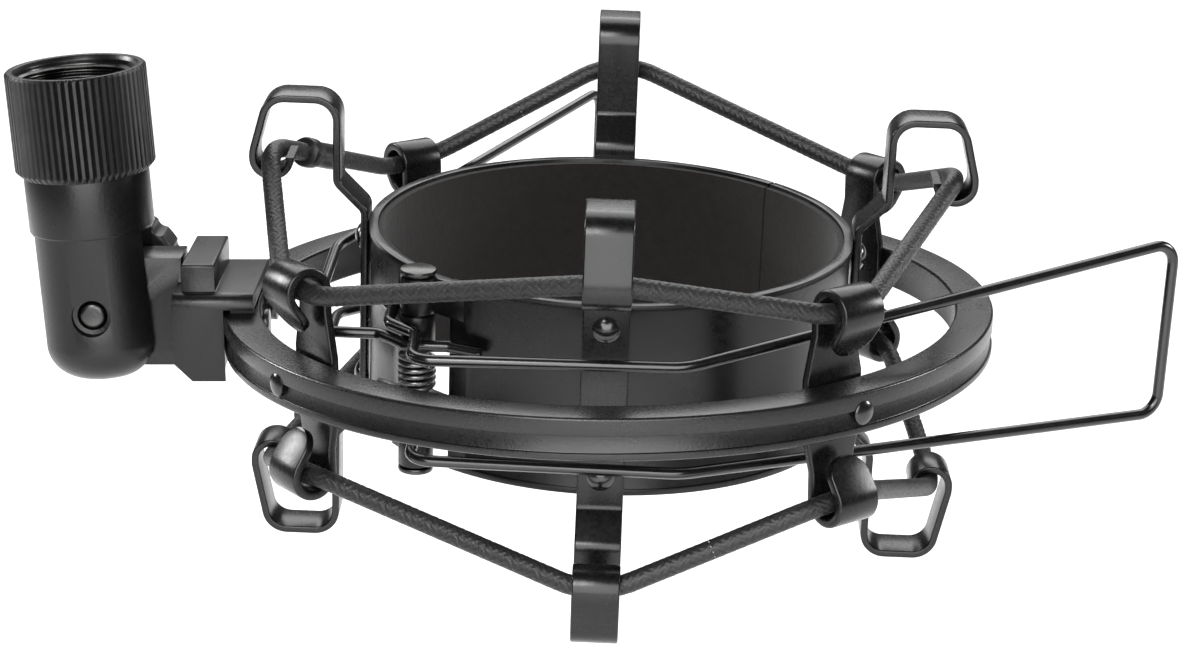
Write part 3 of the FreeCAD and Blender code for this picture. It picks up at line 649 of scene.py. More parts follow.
SOFTENED = [
    # piece, node, bevel in mm, body, finish, slot
    ("arm_casting", "arm_bracket", 0.3, "ring", powder_coat, "arm_paint"),
    ("tube_body", "adapter_tube", 0.15, "adapter", powder_coat, "adapter_paint"),
    ("tilt_knob_grip", "tilt_knob", 0.2, "knob", knob_plastic, "knob_plastic"),
    ("knob_stud", "pivot_bolt", 0.1, "knob", black_steel, "pin_steel"),
    ("tongue_washers", "friction_washers", 0.08, "ring", washer_fibre, "washer_plastic"),
    ("ring_pad", "arm_pad", 0.1, "ring", pad_rubber, "pad_rubber"),
    ("ring_screws", "arm_screws", 0.15, "ring", black_steel, "screw_steel"),
    ("front_clamp_shell", "front_shell", 0.1, "front_jaw", shell_coat, "shell_paint"),
    ("rear_clamp_shell", "rear_shell", 0.1, "rear_jaw", shell_coat, "shell_paint"),
    ("clamp_pin", "hinge_pin", 0.15, "cradle", black_steel, "pin_steel"),
    ("collar_clip", "retaining_ring", 0.08, "collar", spring_steel, "spring_steel"),
]
for piece_name, node, bevel_mm, body, finish, slot_name in SOFTENED:
    settle(softened_copy(piece_name, node, bevel_mm), body, finish, slot_name, node)
print("softened copies:", len(SOFTENED))

# %% [markdown]
# ## The outer ring
# The ring is a turned aluminium band with a plain upper band, an undercut step, a sloping flank
# and a lip. A lathe outline gives it exactly, with enough segments that its rim stays round.

# %% Ring
RING_OUTER = 52.5
RING_INNER = 47.4
RING_HALF = 2.75
RING_BAND = 2.3
RING_STEP = 0.6
RING_LIP = 1.0
CHAMFER = 0.25
RING_EDGE = 0.12
ring_outline = [
    (RING_INNER + CHAMFER, RING_HALF), (RING_OUTER - CHAMFER, RING_HALF),
    (RING_OUTER, RING_HALF - CHAMFER),
    (RING_OUTER, RING_HALF - RING_BAND), (RING_OUTER - RING_STEP, RING_HALF - RING_BAND),
    (RING_OUTER - CHAMFER, RING_LIP - RING_HALF), (RING_OUTER, RING_LIP - RING_HALF),
    (RING_OUTER, CHAMFER - RING_HALF), (RING_OUTER - CHAMFER, -RING_HALF),
    (RING_INNER + CHAMFER, -RING_HALF), (RING_INNER, CHAMFER - RING_HALF),
    (RING_INNER, RING_HALF - CHAMFER),
]
ring = lathe("ring_band", softened_outline(in_metres(ring_outline), RING_EDGE * MM), 360)
settle(ring, "ring", ring_coat, "ring_paint", "outer_ring")
print("ring faces:", len(ring.data.polygons))

# %% [markdown]
# ## Posts
# Each post is a tapered plate whose two ends are folded outwards over a cord and finish in a
# round flap. Its width follows the route: wide at the ring, narrower at the folds, and along a
# half circle at the flap. A flat plate could be bent by a modifier, but a section carried along
# the fold keeps its thickness true all the way round.

# %% Posts
CORD_R = 1.25
POST_FACE = 47.05
POST_THICKNESS = 1.2
POST_MID = POST_FACE - POST_THICKNESS / 2
POST_ROOT_WIDTH = 9.0
POST_END_WIDTH = 6.4
POST_ROOT_HALF = 3.4
POST_TAPER_END = 9.0
POST_CORD_Z = 12.2
POST_CORD_GAP = 0.8
POST_FOLD_R = CORD_R + POST_CORD_GAP + POST_THICKNESS / 2
POST_FOLD_PAST = 35.0
POST_FLAP = 1.6
POST_TIP_WIDTH = 0.35
POST_EDGE = 0.3
POST_AZIMUTHS = {"back_right": 36.5, "back_left": 126.5, "front_left": 216.5, "front_right": 306.5}
POST_CORD_R = POST_MID + POST_FOLD_R


def post_route():
    """The middle line of the upper half of a post, from the ring's level to the flap's tip."""
    rows = [(0.0, POST_ROOT_WIDTH), (POST_ROOT_HALF, POST_ROOT_WIDTH), (POST_TAPER_END, POST_END_WIDTH),
            (POST_CORD_Z, POST_END_WIDTH)]
    route = [(Vector((POST_MID, 0, z)), width) for z, width in rows]
    fold_steps = 24
    for i in range(1, fold_steps + 1):
        angle = math.radians(180 - (180 + POST_FOLD_PAST) * i / fold_steps)
        point = Vector((POST_CORD_R + POST_FOLD_R * math.cos(angle), 0,
                        POST_CORD_Z + POST_FOLD_R * math.sin(angle)))
        route.append((point, POST_END_WIDTH))
    last = math.radians(-POST_FOLD_PAST)
    along = Vector((math.sin(last), 0, -math.cos(last)))
    start = route[-1][0]
    flap_steps = 9
    for i in range(1, flap_steps + 1):
        angle = math.pi / 2 * i / flap_steps
        reach = POST_FLAP + POST_END_WIDTH / 2 * math.sin(angle)
        route.append((start + along * reach, max(POST_END_WIDTH * math.cos(angle), POST_TIP_WIDTH)))
    return route


upper_half = post_route()
lower_half = [(Vector((p.x, 0, -p.z)), w) for p, w in reversed(upper_half[1:])]
post_line = [p * MM for p, _ in lower_half + upper_half]
post_widths = [w * MM for _, w in lower_half + upper_half]
for post_name, azimuth in POST_AZIMUTHS.items():
    post = strip(post_name + "_post_plate", post_line, post_widths, POST_THICKNESS * MM, POST_EDGE * MM)
    settle(about_z(post, azimuth), "ring", strip_coat, "strip_paint", post_name + "_post")
print("posts:", len(POST_AZIMUTHS))

# %% [markdown]
# ## Hooks
# A hook is one length of strip. It is riveted to the shell, jogs outwards, turns over at the top
# and comes down to a small cradle for the cord. Its lower end is bent the same way at its own
# heights, which differ a little from hook to hook. It is carried along its route as the posts
# are, because one list of corners then serves all four hooks with only the heights changed.

# %% Hooks
STRIP_WIDTH = 6.0
STRIP_THICKNESS = 1.0
STRIP_EDGE = 0.22
SHELL_OUTER = 32.6
SHELL_RIM = 0.25
STRIP_STANDOFF = 0.3
STRIP_MID = SHELL_OUTER + STRIP_STANDOFF + STRIP_THICKNESS / 2
HOOK_CORD_GAP = 0.75
HOOK_CRADLE_MID = CORD_R + HOOK_CORD_GAP + STRIP_THICKNESS / 2
HOOK_JOG_FROM, HOOK_JOG_TO = 14.4, 18.2
HOOK_INNER_LEG = 37.2
HOOK_OUTER_LEG = 48.5
HOOK_FLARE = 2.0
HOOK_LEAN_OVER = 0.8
HOOK_TIP_OVER = 0.2
HOOK_CRADLE_R = HOOK_OUTER_LEG - HOOK_CRADLE_MID
HOOKS = {"right": (0.0, "front_jaw"), "back": (90.0, "rear_jaw"), "left": (180.0, "rear_jaw"),
         "front": (270.0, "front_jaw")}
HOOK_HEIGHTS = {
    # hook: top, height of the upper cord, depth of the bottom, depth of the lower cord
    "right": (30.1, 21.3, 33.6, 22.6), "back": (32.3, 23.2, 31.0, 22.0),
    "left": (30.1, 21.3, 33.6, 22.6), "front": (28.9, 20.0, 27.8, 19.8),
}
hook_bends = [1.6, 1.6, 3.0, 3.0, 4.0, HOOK_CRADLE_MID - 0.05, HOOK_CRADLE_MID - 0.05]


def hook_corners(top, cord_z):
    """Half of a hook as (radius, height): up the shell, out, over and down to its cradle."""
    over = top - STRIP_THICKNESS / 2
    tip = HOOK_CRADLE_R - HOOK_CRADLE_MID
    bottom = cord_z - HOOK_CRADLE_MID
    return [(STRIP_MID, HOOK_JOG_FROM), (HOOK_INNER_LEG, HOOK_JOG_TO), (HOOK_INNER_LEG, over),
            (HOOK_OUTER_LEG - HOOK_FLARE, over), (HOOK_OUTER_LEG, cord_z + HOOK_LEAN_OVER),
            (HOOK_OUTER_LEG, bottom), (tip, bottom), (tip, cord_z + HOOK_TIP_OVER)]


for hook_name, (azimuth, body) in HOOKS.items():
    top, upper_z, depth, lower_z = HOOK_HEIGHTS[hook_name]
    corners = [Vector((r, 0, -z)) * MM for r, z in reversed(hook_corners(depth, lower_z))]
    corners += [Vector((r, 0, z)) * MM for r, z in hook_corners(top, upper_z)]
    hook_line = bent_route(corners, [r * MM for r in hook_bends[::-1] + hook_bends])
    hook = strip(hook_name + "_hook_strip", hook_line, [STRIP_WIDTH * MM] * len(hook_line),
                 STRIP_THICKNESS * MM, STRIP_EDGE * MM)
    settle(hang(about_z(hook, azimuth)), body, strip_coat, "strip_paint", hook_name + "_hook")
print("hooks:", len(HOOKS), "with", len(hook_line), "stations each")

# %% [markdown]
# ## Wire handles
# Each handle is one wire that starts on a shell, climbs over the hinge pin to the other side,
# runs beside the basket and opens into a long finger loop. The rear handle is made as the front
# one is and mirrored across the plane through the hinge and the seam, with a tip of its own.
# A curve with a round bevel could draw it too; swept rings of points also round its cut ends.

# %% Handles
WIRE_R = 0.75
HINGE_AZIMUTH = 225.0
PIN_CENTRE_R = 34.4
WELD_R = SHELL_OUTER + SHELL_RIM + WIRE_R + 0.02
WELD_ANGLE = math.radians(17.0)
OVER_PIN = 37.65
RUN_OFFSET = 38.5
LOOP_START_X = 10.0
HANDLES = {
    # handle: body, height at the shell, tip (distance out, sideways, its upper and lower height)
    "front": ("rear_jaw", 6.7, (75.5, 5.2, 15.4, -9.2)),
    "rear": ("front_jaw", 4.7, (73.8, 2.9, 12.1, -16.0)),
}


def polar(r, azimuth, z=0.0):
    """A point by its radius, its direction in degrees and its height."""
    a = math.radians(azimuth)
    return Vector((r * math.cos(a), r * math.sin(a), z))


def hinge_point(outward, along, z):
    """A point by its distance out from the basket's axis and its place along the hinge's tangent."""
    return polar(outward, HINGE_AZIMUTH, z) + polar(along, HINGE_AZIMUTH + 90.0)


def handle_route(root_z, tip):
    """The front handle's middle line in metres, from its upper weld round to its lower one."""
    cross = hinge_point(OVER_PIN, 3.6, root_z)
    lead = [
        hinge_point(WELD_R * math.cos(WELD_ANGLE), -WELD_R * math.sin(WELD_ANGLE), root_z),
        hinge_point(WELD_R + 0.3, -5.6, root_z),
        hinge_point(OVER_PIN, -2.0, root_z),
        cross,
        Vector((cross.x, -RUN_OFFSET, root_z)),
        Vector((LOOP_START_X, -RUN_OFFSET, root_z + 0.4)),
    ]
    bends = [2.2, 2.2, 2.2, 2.8, 8.0, 2.8]
    tip_x, tip_y, upper_z, lower_z = tip
    ends = [Vector((tip_x, -tip_y, upper_z)), Vector((tip_x, -tip_y, lower_z))]
    lead += ends + [Vector((p.x, p.y, -p.z)) for p in reversed(lead)]
    return bent_route([p * MM for p in lead], [r * MM for r in bends + bends[::-1]])


for handle_name, (body, root_z, tip) in HANDLES.items():
    route = handle_route(root_z, tip)
    if handle_name == "rear":
        route = [Vector((p.y, p.x, p.z)) for p in route]
    handle = wire(handle_name + "_handle_wire", route, WIRE_R * MM)
    settle(hang(handle), body, wire_coat, "wire_paint", handle_name + "_handle")
print("handle stations:", len(route))

# %% [markdown]
# ## Growing pieces with Geometry Nodes
# Rivets, flutes, threads and braid all repeat by a rule, so each is a small node group with named
# sizes. The group runs once on a start object, and the result is kept as a plain mesh.


# %% Groups
def new_group(name, sizes):
    """A geometry group with a start geometry, named number inputs and one output."""
    tree = bpy.data.node_groups.new(name, "GeometryNodeTree")
    tree.interface.new_socket("Geometry", in_out="INPUT", socket_type="NodeSocketGeometry")
    for size_name, value in sizes.items():
        kind = "NodeSocketInt" if isinstance(value, int) else "NodeSocketFloat"
        tree.interface.new_socket(size_name, in_out="INPUT", socket_type=kind).default_value = value
    tree.interface.new_socket("Geometry", in_out="OUTPUT", socket_type="NodeSocketGeometry")
    graph = Graph(tree)
    return graph, graph.node("NodeGroupInput")


def close_group(graph, geometry, material):
    """Realize Instances and Set Material, then the output."""
    real = graph.node("GeometryNodeRealizeInstances", None, {"Geometry": geometry})
    dressed = graph.node("GeometryNodeSetMaterial", None, {"Geometry": real, "Material": material})
    graph.node("NodeGroupOutput", None, {"Geometry": dressed})
    return graph.tree


def grow(name, group, sizes, start=None):
    """Run a group on a start object and keep what it makes as a plain mesh."""
    if start is None:
        start = bpy.data.objects.new(name + "_start", bpy.data.meshes.new(name + "_start"))
    add_to_scene(start)
    modifier = start.modifiers.new("grow", "NODES")
    modifier.node_group = group
    for item in group.interface.items_tree:
        if item.in_out == "INPUT" and item.name in sizes:
            modifier[item.identifier] = sizes[item.name]
    made = baked(start, name)
    recalculate_normals(made)
    return made


def placed(graph, geometry, x, y, z):
    """Set every point's place from three numbers."""
    vector = graph.node("ShaderNodeCombineXYZ", None, [x, y, z])
    return graph.node("GeometryNodeSetPosition", None, {"Geometry": geometry, "Position": vector})


def unit_grid(graph, columns, rows):
    """A grid of points, and each point's two places along it, both from 0 to 1."""
    grid = graph.node("GeometryNodeMeshGrid", None,
                      {"Size X": 1.0, "Size Y": 1.0, "Vertices X": columns, "Vertices Y": rows})
    place = graph.node("ShaderNodeSeparateXYZ", None, [graph.node("GeometryNodeInputPosition")])
    return grid, place.out("X") + 0.5, place.out("Y") + 0.5


# %% [markdown]
# ### Rivets
# A rivet's head is a low dome with a short straight rim. The dome is a polar grid lifted by a
# curve, and one is set on each rivet's place, facing away from the metal.


# %% Rivet group
def rivet_group(material):
    """A domed head on every seat of the start mesh."""
    graph, sizes = new_group("domed_rivets", {"Head radius": 1.75 * MM, "Head height": 1.0 * MM})
    radius = sizes.out("Head radius")
    height = sizes.out("Head height")
    grid, outward, around = unit_grid(graph, 12, 29)
    reach = (outward * 1.25).math("MINIMUM", 1.0)
    turn = around * (2 * math.pi)
    dome = (1.0 - reach * reach * 0.82).math("POWER", 0.7)
    skirt = (outward - 0.8).math("MAXIMUM", 0.0) * 2.2
    head = placed(graph, grid, radius * reach * turn.math("COSINE"), radius * reach * turn.math("SINE"),
                  height * (dome - skirt))
    head = graph.node("GeometryNodeMergeByDistance", None, {"Geometry": head, "Distance": 1e-7})
    facing = graph.node("GeometryNodeInputNamedAttribute", {"data_type": "FLOAT_VECTOR"},
                        {"Name": "outward"})
    turned = graph.node("FunctionNodeAlignRotationToVector", {"axis": "Z"}, {"Vector": facing})
    heads = graph.node("GeometryNodeInstanceOnPoints", None,
                       {"Points": sizes.out("Geometry"), "Instance": head, "Rotation": turned})
    return close_group(graph, heads, material)


def rivet_seats(places):
    """One point per rivet, with the direction its head faces."""
    mesh = bpy.data.meshes.new("seats")
    mesh.from_pydata([tuple(point) for point, _ in places], [], [])
    directions = mesh.attributes.new("outward", "FLOAT_VECTOR", "POINT")
    directions.data.foreach_set("vector", [v for _, facing in places for v in facing])
    return bpy.data.objects.new("seats", mesh)


domed_rivets = rivet_group(rivet_coat)

# %% Hook rivets
RIVET_Z = 10.0
RIVET_SEAT = STRIP_MID + STRIP_THICKNESS / 2
JAWS = {"front": "front_jaw", "rear": "rear_jaw"}
for side, jaw in JAWS.items():
    azimuths = [azimuth for azimuth, body in HOOKS.values() if body == jaw]
    places = [(polar(RIVET_SEAT, a, z) * MM, polar(1.0, a))
              for a in azimuths for z in (-RIVET_Z, RIVET_Z)]
    rivets = grow(side + "_hook_rivets", domed_rivets, {}, rivet_seats(places))
    settle(hang(rivets), jaw, rivet_coat, "rivet_paint", side + "_shell_rivets")

# %% Ring rivets
ring_seats = [(polar(r, a) * MM, polar(facing, a))
              for r, facing in ((RING_OUTER - 0.05, 1.0), (POST_FACE - POST_THICKNESS, -1.0))
              for a in POST_AZIMUTHS.values()]
ring_rivets = grow("ring_post_rivets", domed_rivets,
                   {"Head radius": 1.5 * MM, "Head height": 0.55 * MM}, rivet_seats(ring_seats))
settle(ring_rivets, "ring", rivet_coat, "rivet_paint", "post_rivets")
print("rivet faces:", len(ring_rivets.data.polygons))

# %% [markdown]
# ### Fluted collar
# The collar is turned, fluted for grip and threaded inside. Its wall is a grid wrapped round the
# axis. The groove depth depends only on the angle and the chamfer only on the height, so two
# short formulas make all sixty flutes. The same wrapped grid, climbing as it turns, is the thread.

# %% Collar grip
COLLAR_R = 9.45
COLLAR_BOTTOM = 20.5
COLLAR_TOP = 34.7
COLLAR_CHAMFER = 0.8
COLLAR_TOP_EDGE = 0.3
ADAPTER_CENTRE = (PIVOT.x, PIVOT.y)


def collar_group(material):
    """The fluted outside of the collar, from its bottom chamfer to its top edge."""
    graph, sizes = new_group("fluted_wall", {
        "Flutes": 60, "Radius": COLLAR_R * MM, "Groove depth": 0.42 * MM,
        "Bottom": COLLAR_BOTTOM * MM, "Height": (COLLAR_TOP - COLLAR_BOTTOM) * MM,
        "Chamfer": COLLAR_CHAMFER * MM, "Top edge": COLLAR_TOP_EDGE * MM})
    rows = 51
    columns = sizes.out("Flutes") * 10 + 1
    grid, around, up = unit_grid(graph, columns, rows)
    part_of_flute = (around * sizes.out("Flutes")).math("FRACT")
    off_crest = (part_of_flute - 0.5).math("ABSOLUTE") * 2.0
    groove = graph.ramp(off_crest, 0.42, 0.95)
    height = up * sizes.out("Height")
    low_cut = (sizes.out("Chamfer") - height).math("MAXIMUM", 0.0)
    high_cut = (sizes.out("Top edge") - (sizes.out("Height") - height)).math("MAXIMUM", 0.0)
    edge = 1.0 - graph.ramp(low_cut + high_cut, 0.0, 0.9 * MM)
    radius = (sizes.out("Radius") - groove * sizes.out("Groove depth") * edge
              - low_cut - high_cut)
    turn = around * (2 * math.pi)
    # crest also paints a highlight on the flute crests and shade in the grooves of collar_coat.
    wall = graph.node("GeometryNodeStoreNamedAttribute", {"data_type": "FLOAT", "domain": "POINT"},
                      {"Geometry": grid, "Name": "crest", "Value": 1.0 - groove * edge})
    wall = placed(graph, wall, radius * turn.math("COSINE") + ADAPTER_CENTRE[0],
                  radius * turn.math("SINE"), height + sizes.out("Bottom"))
    wall = graph.node("GeometryNodeMergeByDistance", None, {"Geometry": wall, "Distance": 1e-7})
    return close_group(graph, wall, material)


collar_wall = grow("collar_grip", collar_group(collar_coat), {})
settle(lean(collar_wall), "collar", collar_coat, "collar_paint", "thread_collar")
print("collar faces:", len(collar_wall.data.polygons))

# %% Stand thread
THREAD_MINOR = 7.47
THREAD_MAJOR = 7.94
THREAD_PITCH = 25.4 / 27
THREAD_TURNS = 10.0
THREAD_LENGTH = 9.9


def thread_group(material):
    """A helical strip with one tooth across it, so that each turn meets the next."""
    graph, sizes = new_group("inside_thread", {
        "Turns": THREAD_TURNS, "Pitch": THREAD_PITCH * MM, "Crest radius": THREAD_MINOR * MM,
        "Root radius": THREAD_MAJOR * MM, "Bottom": (COLLAR_TOP - THREAD_LENGTH) * MM})
    grid, along, across = unit_grid(graph, int(THREAD_TURNS) * 80 + 1, 9)
    tooth = graph.ramp(1.0 - (across - 0.5).math("ABSOLUTE") * 2.0, 0.12, 0.85)
    radius = sizes.out("Root radius") - tooth * (sizes.out("Root radius") - sizes.out("Crest radius"))
    turn = along * sizes.out("Turns") * (2 * math.pi)
    climb = along * (sizes.out("Turns") - 1.0) * sizes.out("Pitch") + across * sizes.out("Pitch")
    wall = placed(graph, grid, radius * turn.math("COSINE") + ADAPTER_CENTRE[0],
                  radius * turn.math("SINE"), climb + sizes.out("Bottom"))
    return close_group(graph, wall, material)


thread = grow("collar_thread", thread_group(black_steel), {})
settle(lean(thread), "collar", black_steel, "collar_paint", "thread_collar")

# %% Collar rim and bore
THREAD_BORE = THREAD_MAJOR + 0.05
TUBE_BORE = 8.45 + 0.05
RIM_EDGE = 0.1
collar_rim_outline = [
    (COLLAR_R - COLLAR_CHAMFER - 0.06, COLLAR_BOTTOM), (COLLAR_R - COLLAR_CHAMFER, COLLAR_BOTTOM + 0.6),
    (COLLAR_R - COLLAR_CHAMFER, COLLAR_TOP - 0.6),
    (COLLAR_R - COLLAR_TOP_EDGE - 0.05, COLLAR_TOP - 0.12),
    (COLLAR_R - COLLAR_TOP_EDGE, COLLAR_TOP), (THREAD_MINOR + 0.9, COLLAR_TOP),
    (THREAD_BORE, COLLAR_TOP - 0.6), (THREAD_BORE, COLLAR_TOP - THREAD_LENGTH),
    (TUBE_BORE, COLLAR_TOP - THREAD_LENGTH), (TUBE_BORE, COLLAR_BOTTOM + 0.05),
]
print("collar rim outline points:", len(collar_rim_outline))
collar_rim = lathe("collar_rim", softened_outline(in_metres(collar_rim_outline), RIM_EDGE * MM), 180,
                   centre=ADAPTER_CENTRE)
settle(lean(collar_rim), "collar", powder_coat, "collar_paint", "thread_collar")

# %% [markdown]
# ### Torsion spring
# The spring is wire wound round the hinge pin, with a straight leg under each shell's edge. A
# Screw modifier could wind the coil, but a worked-out route carries coil and legs as one wire.

# %% Spring
SPRING_WIRE_R = 0.35
SPRING_R = 2.15
SPRING_PITCH = 0.85
SPRING_TURNS = 5
SPRING_LEG = 5.2


def spring_route():
    """The spring's middle line in metres: a leg, the coil and a leg."""
    steps = 36 * SPRING_TURNS
    length = SPRING_PITCH * SPRING_TURNS
    coil = [polar(SPRING_R, 360.0 * SPRING_TURNS * i / steps, length * i / steps - length / 2)
            for i in range(steps + 1)]
    along = Vector((0, 2 * math.pi * SPRING_R, SPRING_PITCH)).normalized()
    coil = [coil[0] - along * SPRING_LEG] + coil + [coil[-1] + along * SPRING_LEG]
    turn = Matrix.Rotation(math.radians(HINGE_AZIMUTH), 3, "Z")
    return [(turn @ p + polar(PIN_CENTRE_R, HINGE_AZIMUTH)) * MM for p in coil]


spring = wire("hinge_spring", spring_route(), SPRING_WIRE_R * MM, sides=12)
settle(hang(spring), "cradle", spring_steel, "spring_steel", "torsion_spring")

# %% [markdown]
# ## Felt lining
# Each shell is lined with a strip of flocked felt, so that the clamp doesn't mark the microphone.
# The strip is lathe work over part of a turn. Small uneven swells keep it from looking machined.

# %% Liners
SHELL_INNER = 31.7
LINER_INNER = 30.8
LINER_HALF = 12.4
HINGE_CUTBACK = 7.0
LINER_MARGIN = 0.05
SEAM_AZIMUTH = 45.0
SEAM_HALF = math.degrees(0.16 / SHELL_OUTER)
SWELL_HEIGHT = 0.035
liner_angle = 180.0 - HINGE_CUTBACK - SEAM_HALF - 2 * LINER_MARGIN
liner_starts = {"front": HINGE_AZIMUTH + HINGE_CUTBACK + LINER_MARGIN,
                "rear": SEAM_AZIMUTH + SEAM_HALF + LINER_MARGIN}
liner_rows = 24
liner_outline = [(LINER_INNER, LINER_HALF - 2 * LINER_HALF * i / liner_rows)
                 for i in range(liner_rows + 1)]
liner_outline += [(SHELL_INNER - 0.02, -LINER_HALF), (SHELL_INNER - 0.02, LINER_HALF)]


def swell(point):
    """How far the felt stands proud at a point, in metres."""
    waves = math.sin(point.x * 310 + point.z * 190) * math.sin(point.y * 270 - point.z * 240)
    return SWELL_HEIGHT * MM * waves


for side, jaw in JAWS.items():
    liner = lathe(side + "_felt_liner", in_metres(liner_outline), 120, liner_starts[side], liner_angle)
    for vertex in liner.data.vertices:
        flat = Vector((vertex.co.x, vertex.co.y, 0))
        if flat.length < (LINER_INNER + 0.2) * MM:
            vertex.co -= flat.normalized() * swell(vertex.co)
    settle(hang(liner), jaw, liner_felt, "liner_felt", side + "_liner")

# %% [markdown]
# ## Braided cords
# An elastic cord zigzags between the hooks and the posts, one loop above the ring and one below.
# Its cover is a braid: strands spiral both ways and pass over and under each other. A group
# sweeps a round section along each stretch and lifts each point by the strand on top there.
# Each leg is cut in two halves. One half gives way between the ring and the floating hinge, the
# other between the hinge and a jaw, so the cord stays whole when the basket moves.

# %% Cord group
CORD_BEND = 12.0


def cord_group(material):
    """A braided cord along the start curve."""
    graph, sizes = new_group("braided_cord", {
        "Radius": CORD_R * MM, "Spacing": 0.2 * MM, "Strands": 10, "Lay": 9.5 * MM,
        "Relief": 0.16 * MM, "Start": 0.0})
    curve = graph.node("GeometryNodeSetCurveNormal", {"mode": "Z_UP"}, {"Curve": sizes.out("Geometry")})
    curve = graph.node("GeometryNodeResampleCurve", {"mode": "LENGTH"},
                       {"Curve": curve, "Length": sizes.out("Spacing")})
    length = graph.node("GeometryNodeSplineParameter").out("Length")
    spine = graph.node("GeometryNodeCaptureAttribute", {"captures": ["along"]},
                       {"Geometry": curve, "along": length})
    circle = graph.node("GeometryNodeCurvePrimitiveCircle", {"mode": "RADIUS"},
                        {"Resolution": 40, "Radius": sizes.out("Radius")})
    factor = graph.node("GeometryNodeSplineParameter").out("Factor")
    section = graph.node("GeometryNodeCaptureAttribute", {"captures": ["around"]},
                         {"Geometry": circle, "around": factor})
    tube = graph.node("GeometryNodeCurveToMesh", None,
                      {"Curve": spine.out("Geometry"), "Profile Curve": section.out("Geometry"),
                       "Fill Caps": True})
    turns = (spine.out("along") + sizes.out("Start")) / sizes.out("Lay") * sizes.out("Strands")
    spread = section.out("around") * sizes.out("Strands")
    first = ((spread + turns) * math.pi).math("SINE")
    second = ((spread - turns) * math.pi).math("SINE")
    on_top = (first * second).math("GREATER_THAN", 0.0)
    lift = first.math("ABSOLUTE") * on_top + second.math("ABSOLUTE") * (1.0 - on_top)
    lift = lift.math("POWER", 0.7)
    # Lift also paints shade into cord_braid: the gaps between strands are coloured darker.
    tube = graph.node("GeometryNodeStoreNamedAttribute", {"data_type": "FLOAT", "domain": "POINT"},
                      {"Geometry": tube, "Name": "lift", "Value": lift})
    normal = graph.node("GeometryNodeInputNormal")
    offset = graph.node("ShaderNodeVectorMath", {"operation": "SCALE"},
                        {"Vector": normal, "Scale": (lift - 0.75) * sizes.out("Relief")})
    tube = graph.node("GeometryNodeSetPosition", None, {"Geometry": tube, "Offset": offset})
    return close_group(graph, tube, material)


braided_cord = cord_group(cord_braid)


# %% Cord routes
LEVELS = {"upper": 1, "lower": -1}


def cord_stops(side):
    """Where a cord is held, in order: (name, body, point)."""
    stops = []
    for name, (azimuth, body) in HOOKS.items():
        height = HOOK_HEIGHTS[name][1] if side > 0 else -HOOK_HEIGHTS[name][3]
        held_at = BASKET_TURN @ polar(HOOK_CRADLE_R, azimuth, height)
        stops.append((azimuth, name + "_hook", body, held_at))
    for name, azimuth in POST_AZIMUTHS.items():
        stops.append((azimuth, name + "_post", "ring", polar(POST_CORD_R, azimuth, side * POST_CORD_Z)))
    return [stop[1:] for stop in sorted(stops, key=lambda stop: stop[0])]


def cord_corners(stops):
    """Corners whose bends pass through the stops, because a bend cuts inside its corner."""
    points = [point for _, _, point in stops]
    corners = list(points)
    for _ in range(12):
        moved = []
        for i, corner in enumerate(corners):
            a = (corners[i - 1] - corner).normalized()
            b = (corners[(i + 1) % len(corners)] - corner).normalized()
            inside = CORD_BEND * (1 / math.sin(a.angle(b) / 2) - 1)
            moved.append(points[i] - (a + b).normalized() * inside)
        corners = moved
    return corners


def half_leg(corners, stops, i, step):
    """From the middle of the bend at stop i half way to the next one; step is 1 or -1."""
    count = len(corners)
    corner, ahead, behind = corners[i], corners[(i + step) % count], corners[(i - step) % count]
    a = (behind - corner).normalized()
    b = (ahead - corner).normalized()
    half = a.angle(b) / 2
    centre = corner + (a + b).normalized() * (CORD_BEND / math.sin(half))
    apex = stops[i][2]
    leaves = corner + b * (CORD_BEND / math.tan(half))
    arm = apex - centre
    axis = arm.cross(leaves - centre).normalized()
    sweep = arm.angle(leaves - centre)
    bend_points = [centre + Matrix.Rotation(sweep * k / 6, 3, axis) @ arm for k in range(7)]
    other_a = (corner - ahead).normalized()
    other_b = (corners[(i + 2 * step) % count] - ahead).normalized()
    arrives = ahead + other_a * (CORD_BEND / math.tan(other_a.angle(other_b) / 2))
    middle = (leaves + arrives) * 0.5
    return bend_points, middle


# %% Cords
def cord_piece(name, points, start):
    """A braided stretch along points in mm."""
    data = bpy.data.curves.new(name + "_line", "CURVE")
    data.dimensions = "3D"
    spline = data.splines.new("POLY")
    spline.points.add(len(points) - 1)
    for slot_point, point in zip(spline.points, points):
        slot_point.co = (*(point * MM), 1.0)
    line = bpy.data.objects.new(name + "_line", data)
    return grow(name, braided_cord, {"Start": start * MM}, line)


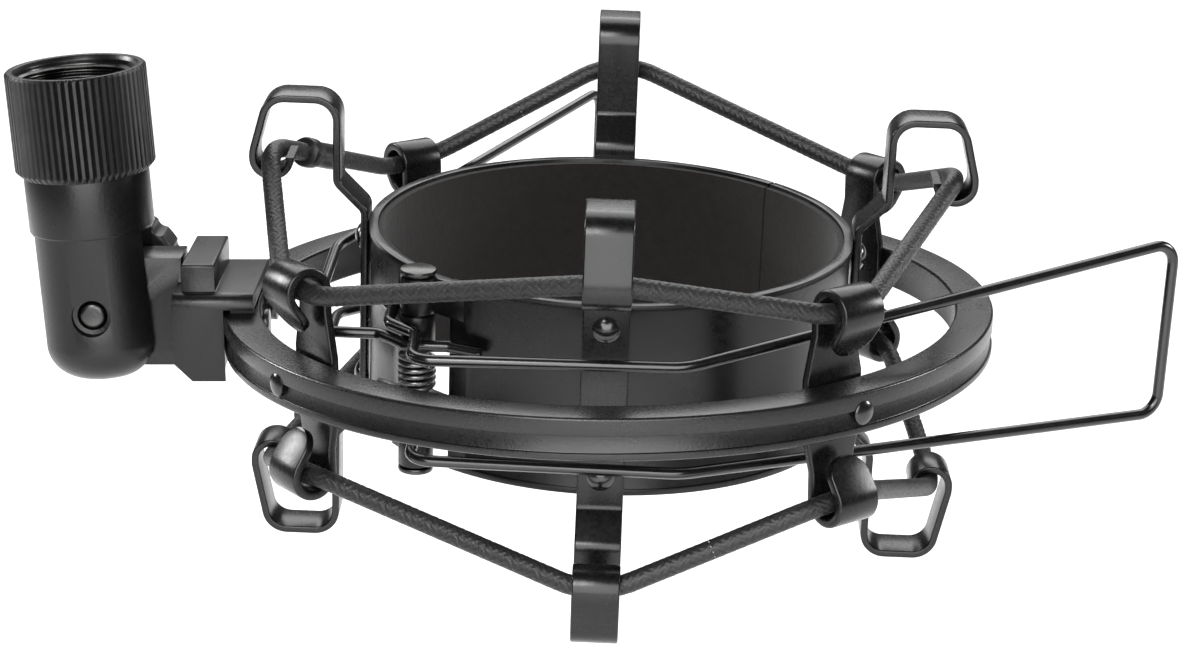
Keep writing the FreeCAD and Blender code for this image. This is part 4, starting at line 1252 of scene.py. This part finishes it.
cord_lengths = {}
for level, side in LEVELS.items():
    stops = cord_stops(side)
    corners = cord_corners(stops)
    travelled = 0.0
    for i, (stop_name, body, _) in enumerate(stops):
        following = (i + 1) % len(stops)
        next_name, next_body, _ = stops[following]
        out_points, middle = half_leg(corners, stops, i, 1)
        in_points, _ = half_leg(corners, stops, following, -1)
        halves = [(stop_name, body, out_points + [middle], False),
                  (next_name, next_body, in_points + [middle], True)]
        for held_name, held_body, points, is_arrival in halves:
            if is_arrival:
                points = points[::-1]
            name = f"{level}_cord_{i}_{held_name}"
            piece = cord_piece(name, points, travelled)
            travelled += sum((b - a).length for a, b in zip(points, points[1:]))
            settle(piece, None, cord_braid, "cord_braid", level + "_cord")
            edge = (in_points if is_arrival else out_points)[-1]
            if held_body == "ring":
                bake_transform(piece, "ring", "cradle", edge * MM, middle * MM)
            else:
                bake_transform(piece, "cradle", held_body, middle * MM, edge * MM)
    cord_lengths[level] = round(travelled, 1)
print("cord lengths in mm:", cord_lengths)

# %% [markdown]
# ## Joint sleeves
# The two ends of each cord meet inside a shrunk rubber tube. It is a lathe shape along the leg:
# a flared mouth, a waist and a plain barrel. A short list of distances and radii sets each step
# directly, which a bevelled curve would not.

# %% Sleeves
SLEEVE_PROFILE = [
    # distance along in mm, radius in mm
    (0.0, 1.5), (0.15, 2.0), (0.7, 2.15), (2.4, 2.12), (3.0, 1.86),
    (3.6, 1.78), (6.0, 1.8), (9.3, 1.82), (9.85, 1.74), (10.0, 1.5),
]
SLEEVE_START = 0.24
for level, side in LEVELS.items():
    stops = cord_stops(side)
    corners = cord_corners(stops)
    names = [name for name, _, _ in stops]
    hook_i = names.index("left_hook")
    post_i = names.index("back_left_post")
    hook_corner, post_corner = corners[hook_i], corners[post_i]
    along = (post_corner - hook_corner).normalized()
    start = hook_corner + (post_corner - hook_corner) * SLEEVE_START
    upright = along.orthogonal().normalized()
    across = along.cross(upright)
    points = []
    sides = 28
    for distance, radius in SLEEVE_PROFILE:
        for j in range(sides):
            angle = 2 * math.pi * j / sides
            outwards = upright * math.cos(angle) + across * math.sin(angle)
            points.append((start + along * distance + outwards * radius) * MM)
    sleeve = mesh_object(level + "_joint_sleeve", points, ring_faces(len(SLEEVE_PROFILE), sides))
    recalculate_normals(sleeve)
    settle(sleeve, None, sleeve_rubber, "sleeve_rubber", level + "_cord_sleeve")
    step = 1 if post_i == (hook_i + 1) % len(stops) else -1
    hook_points, middle = half_leg(corners, stops, hook_i, step)
    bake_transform(sleeve, "cradle", "rear_jaw", middle * MM, hook_points[-1] * MM)
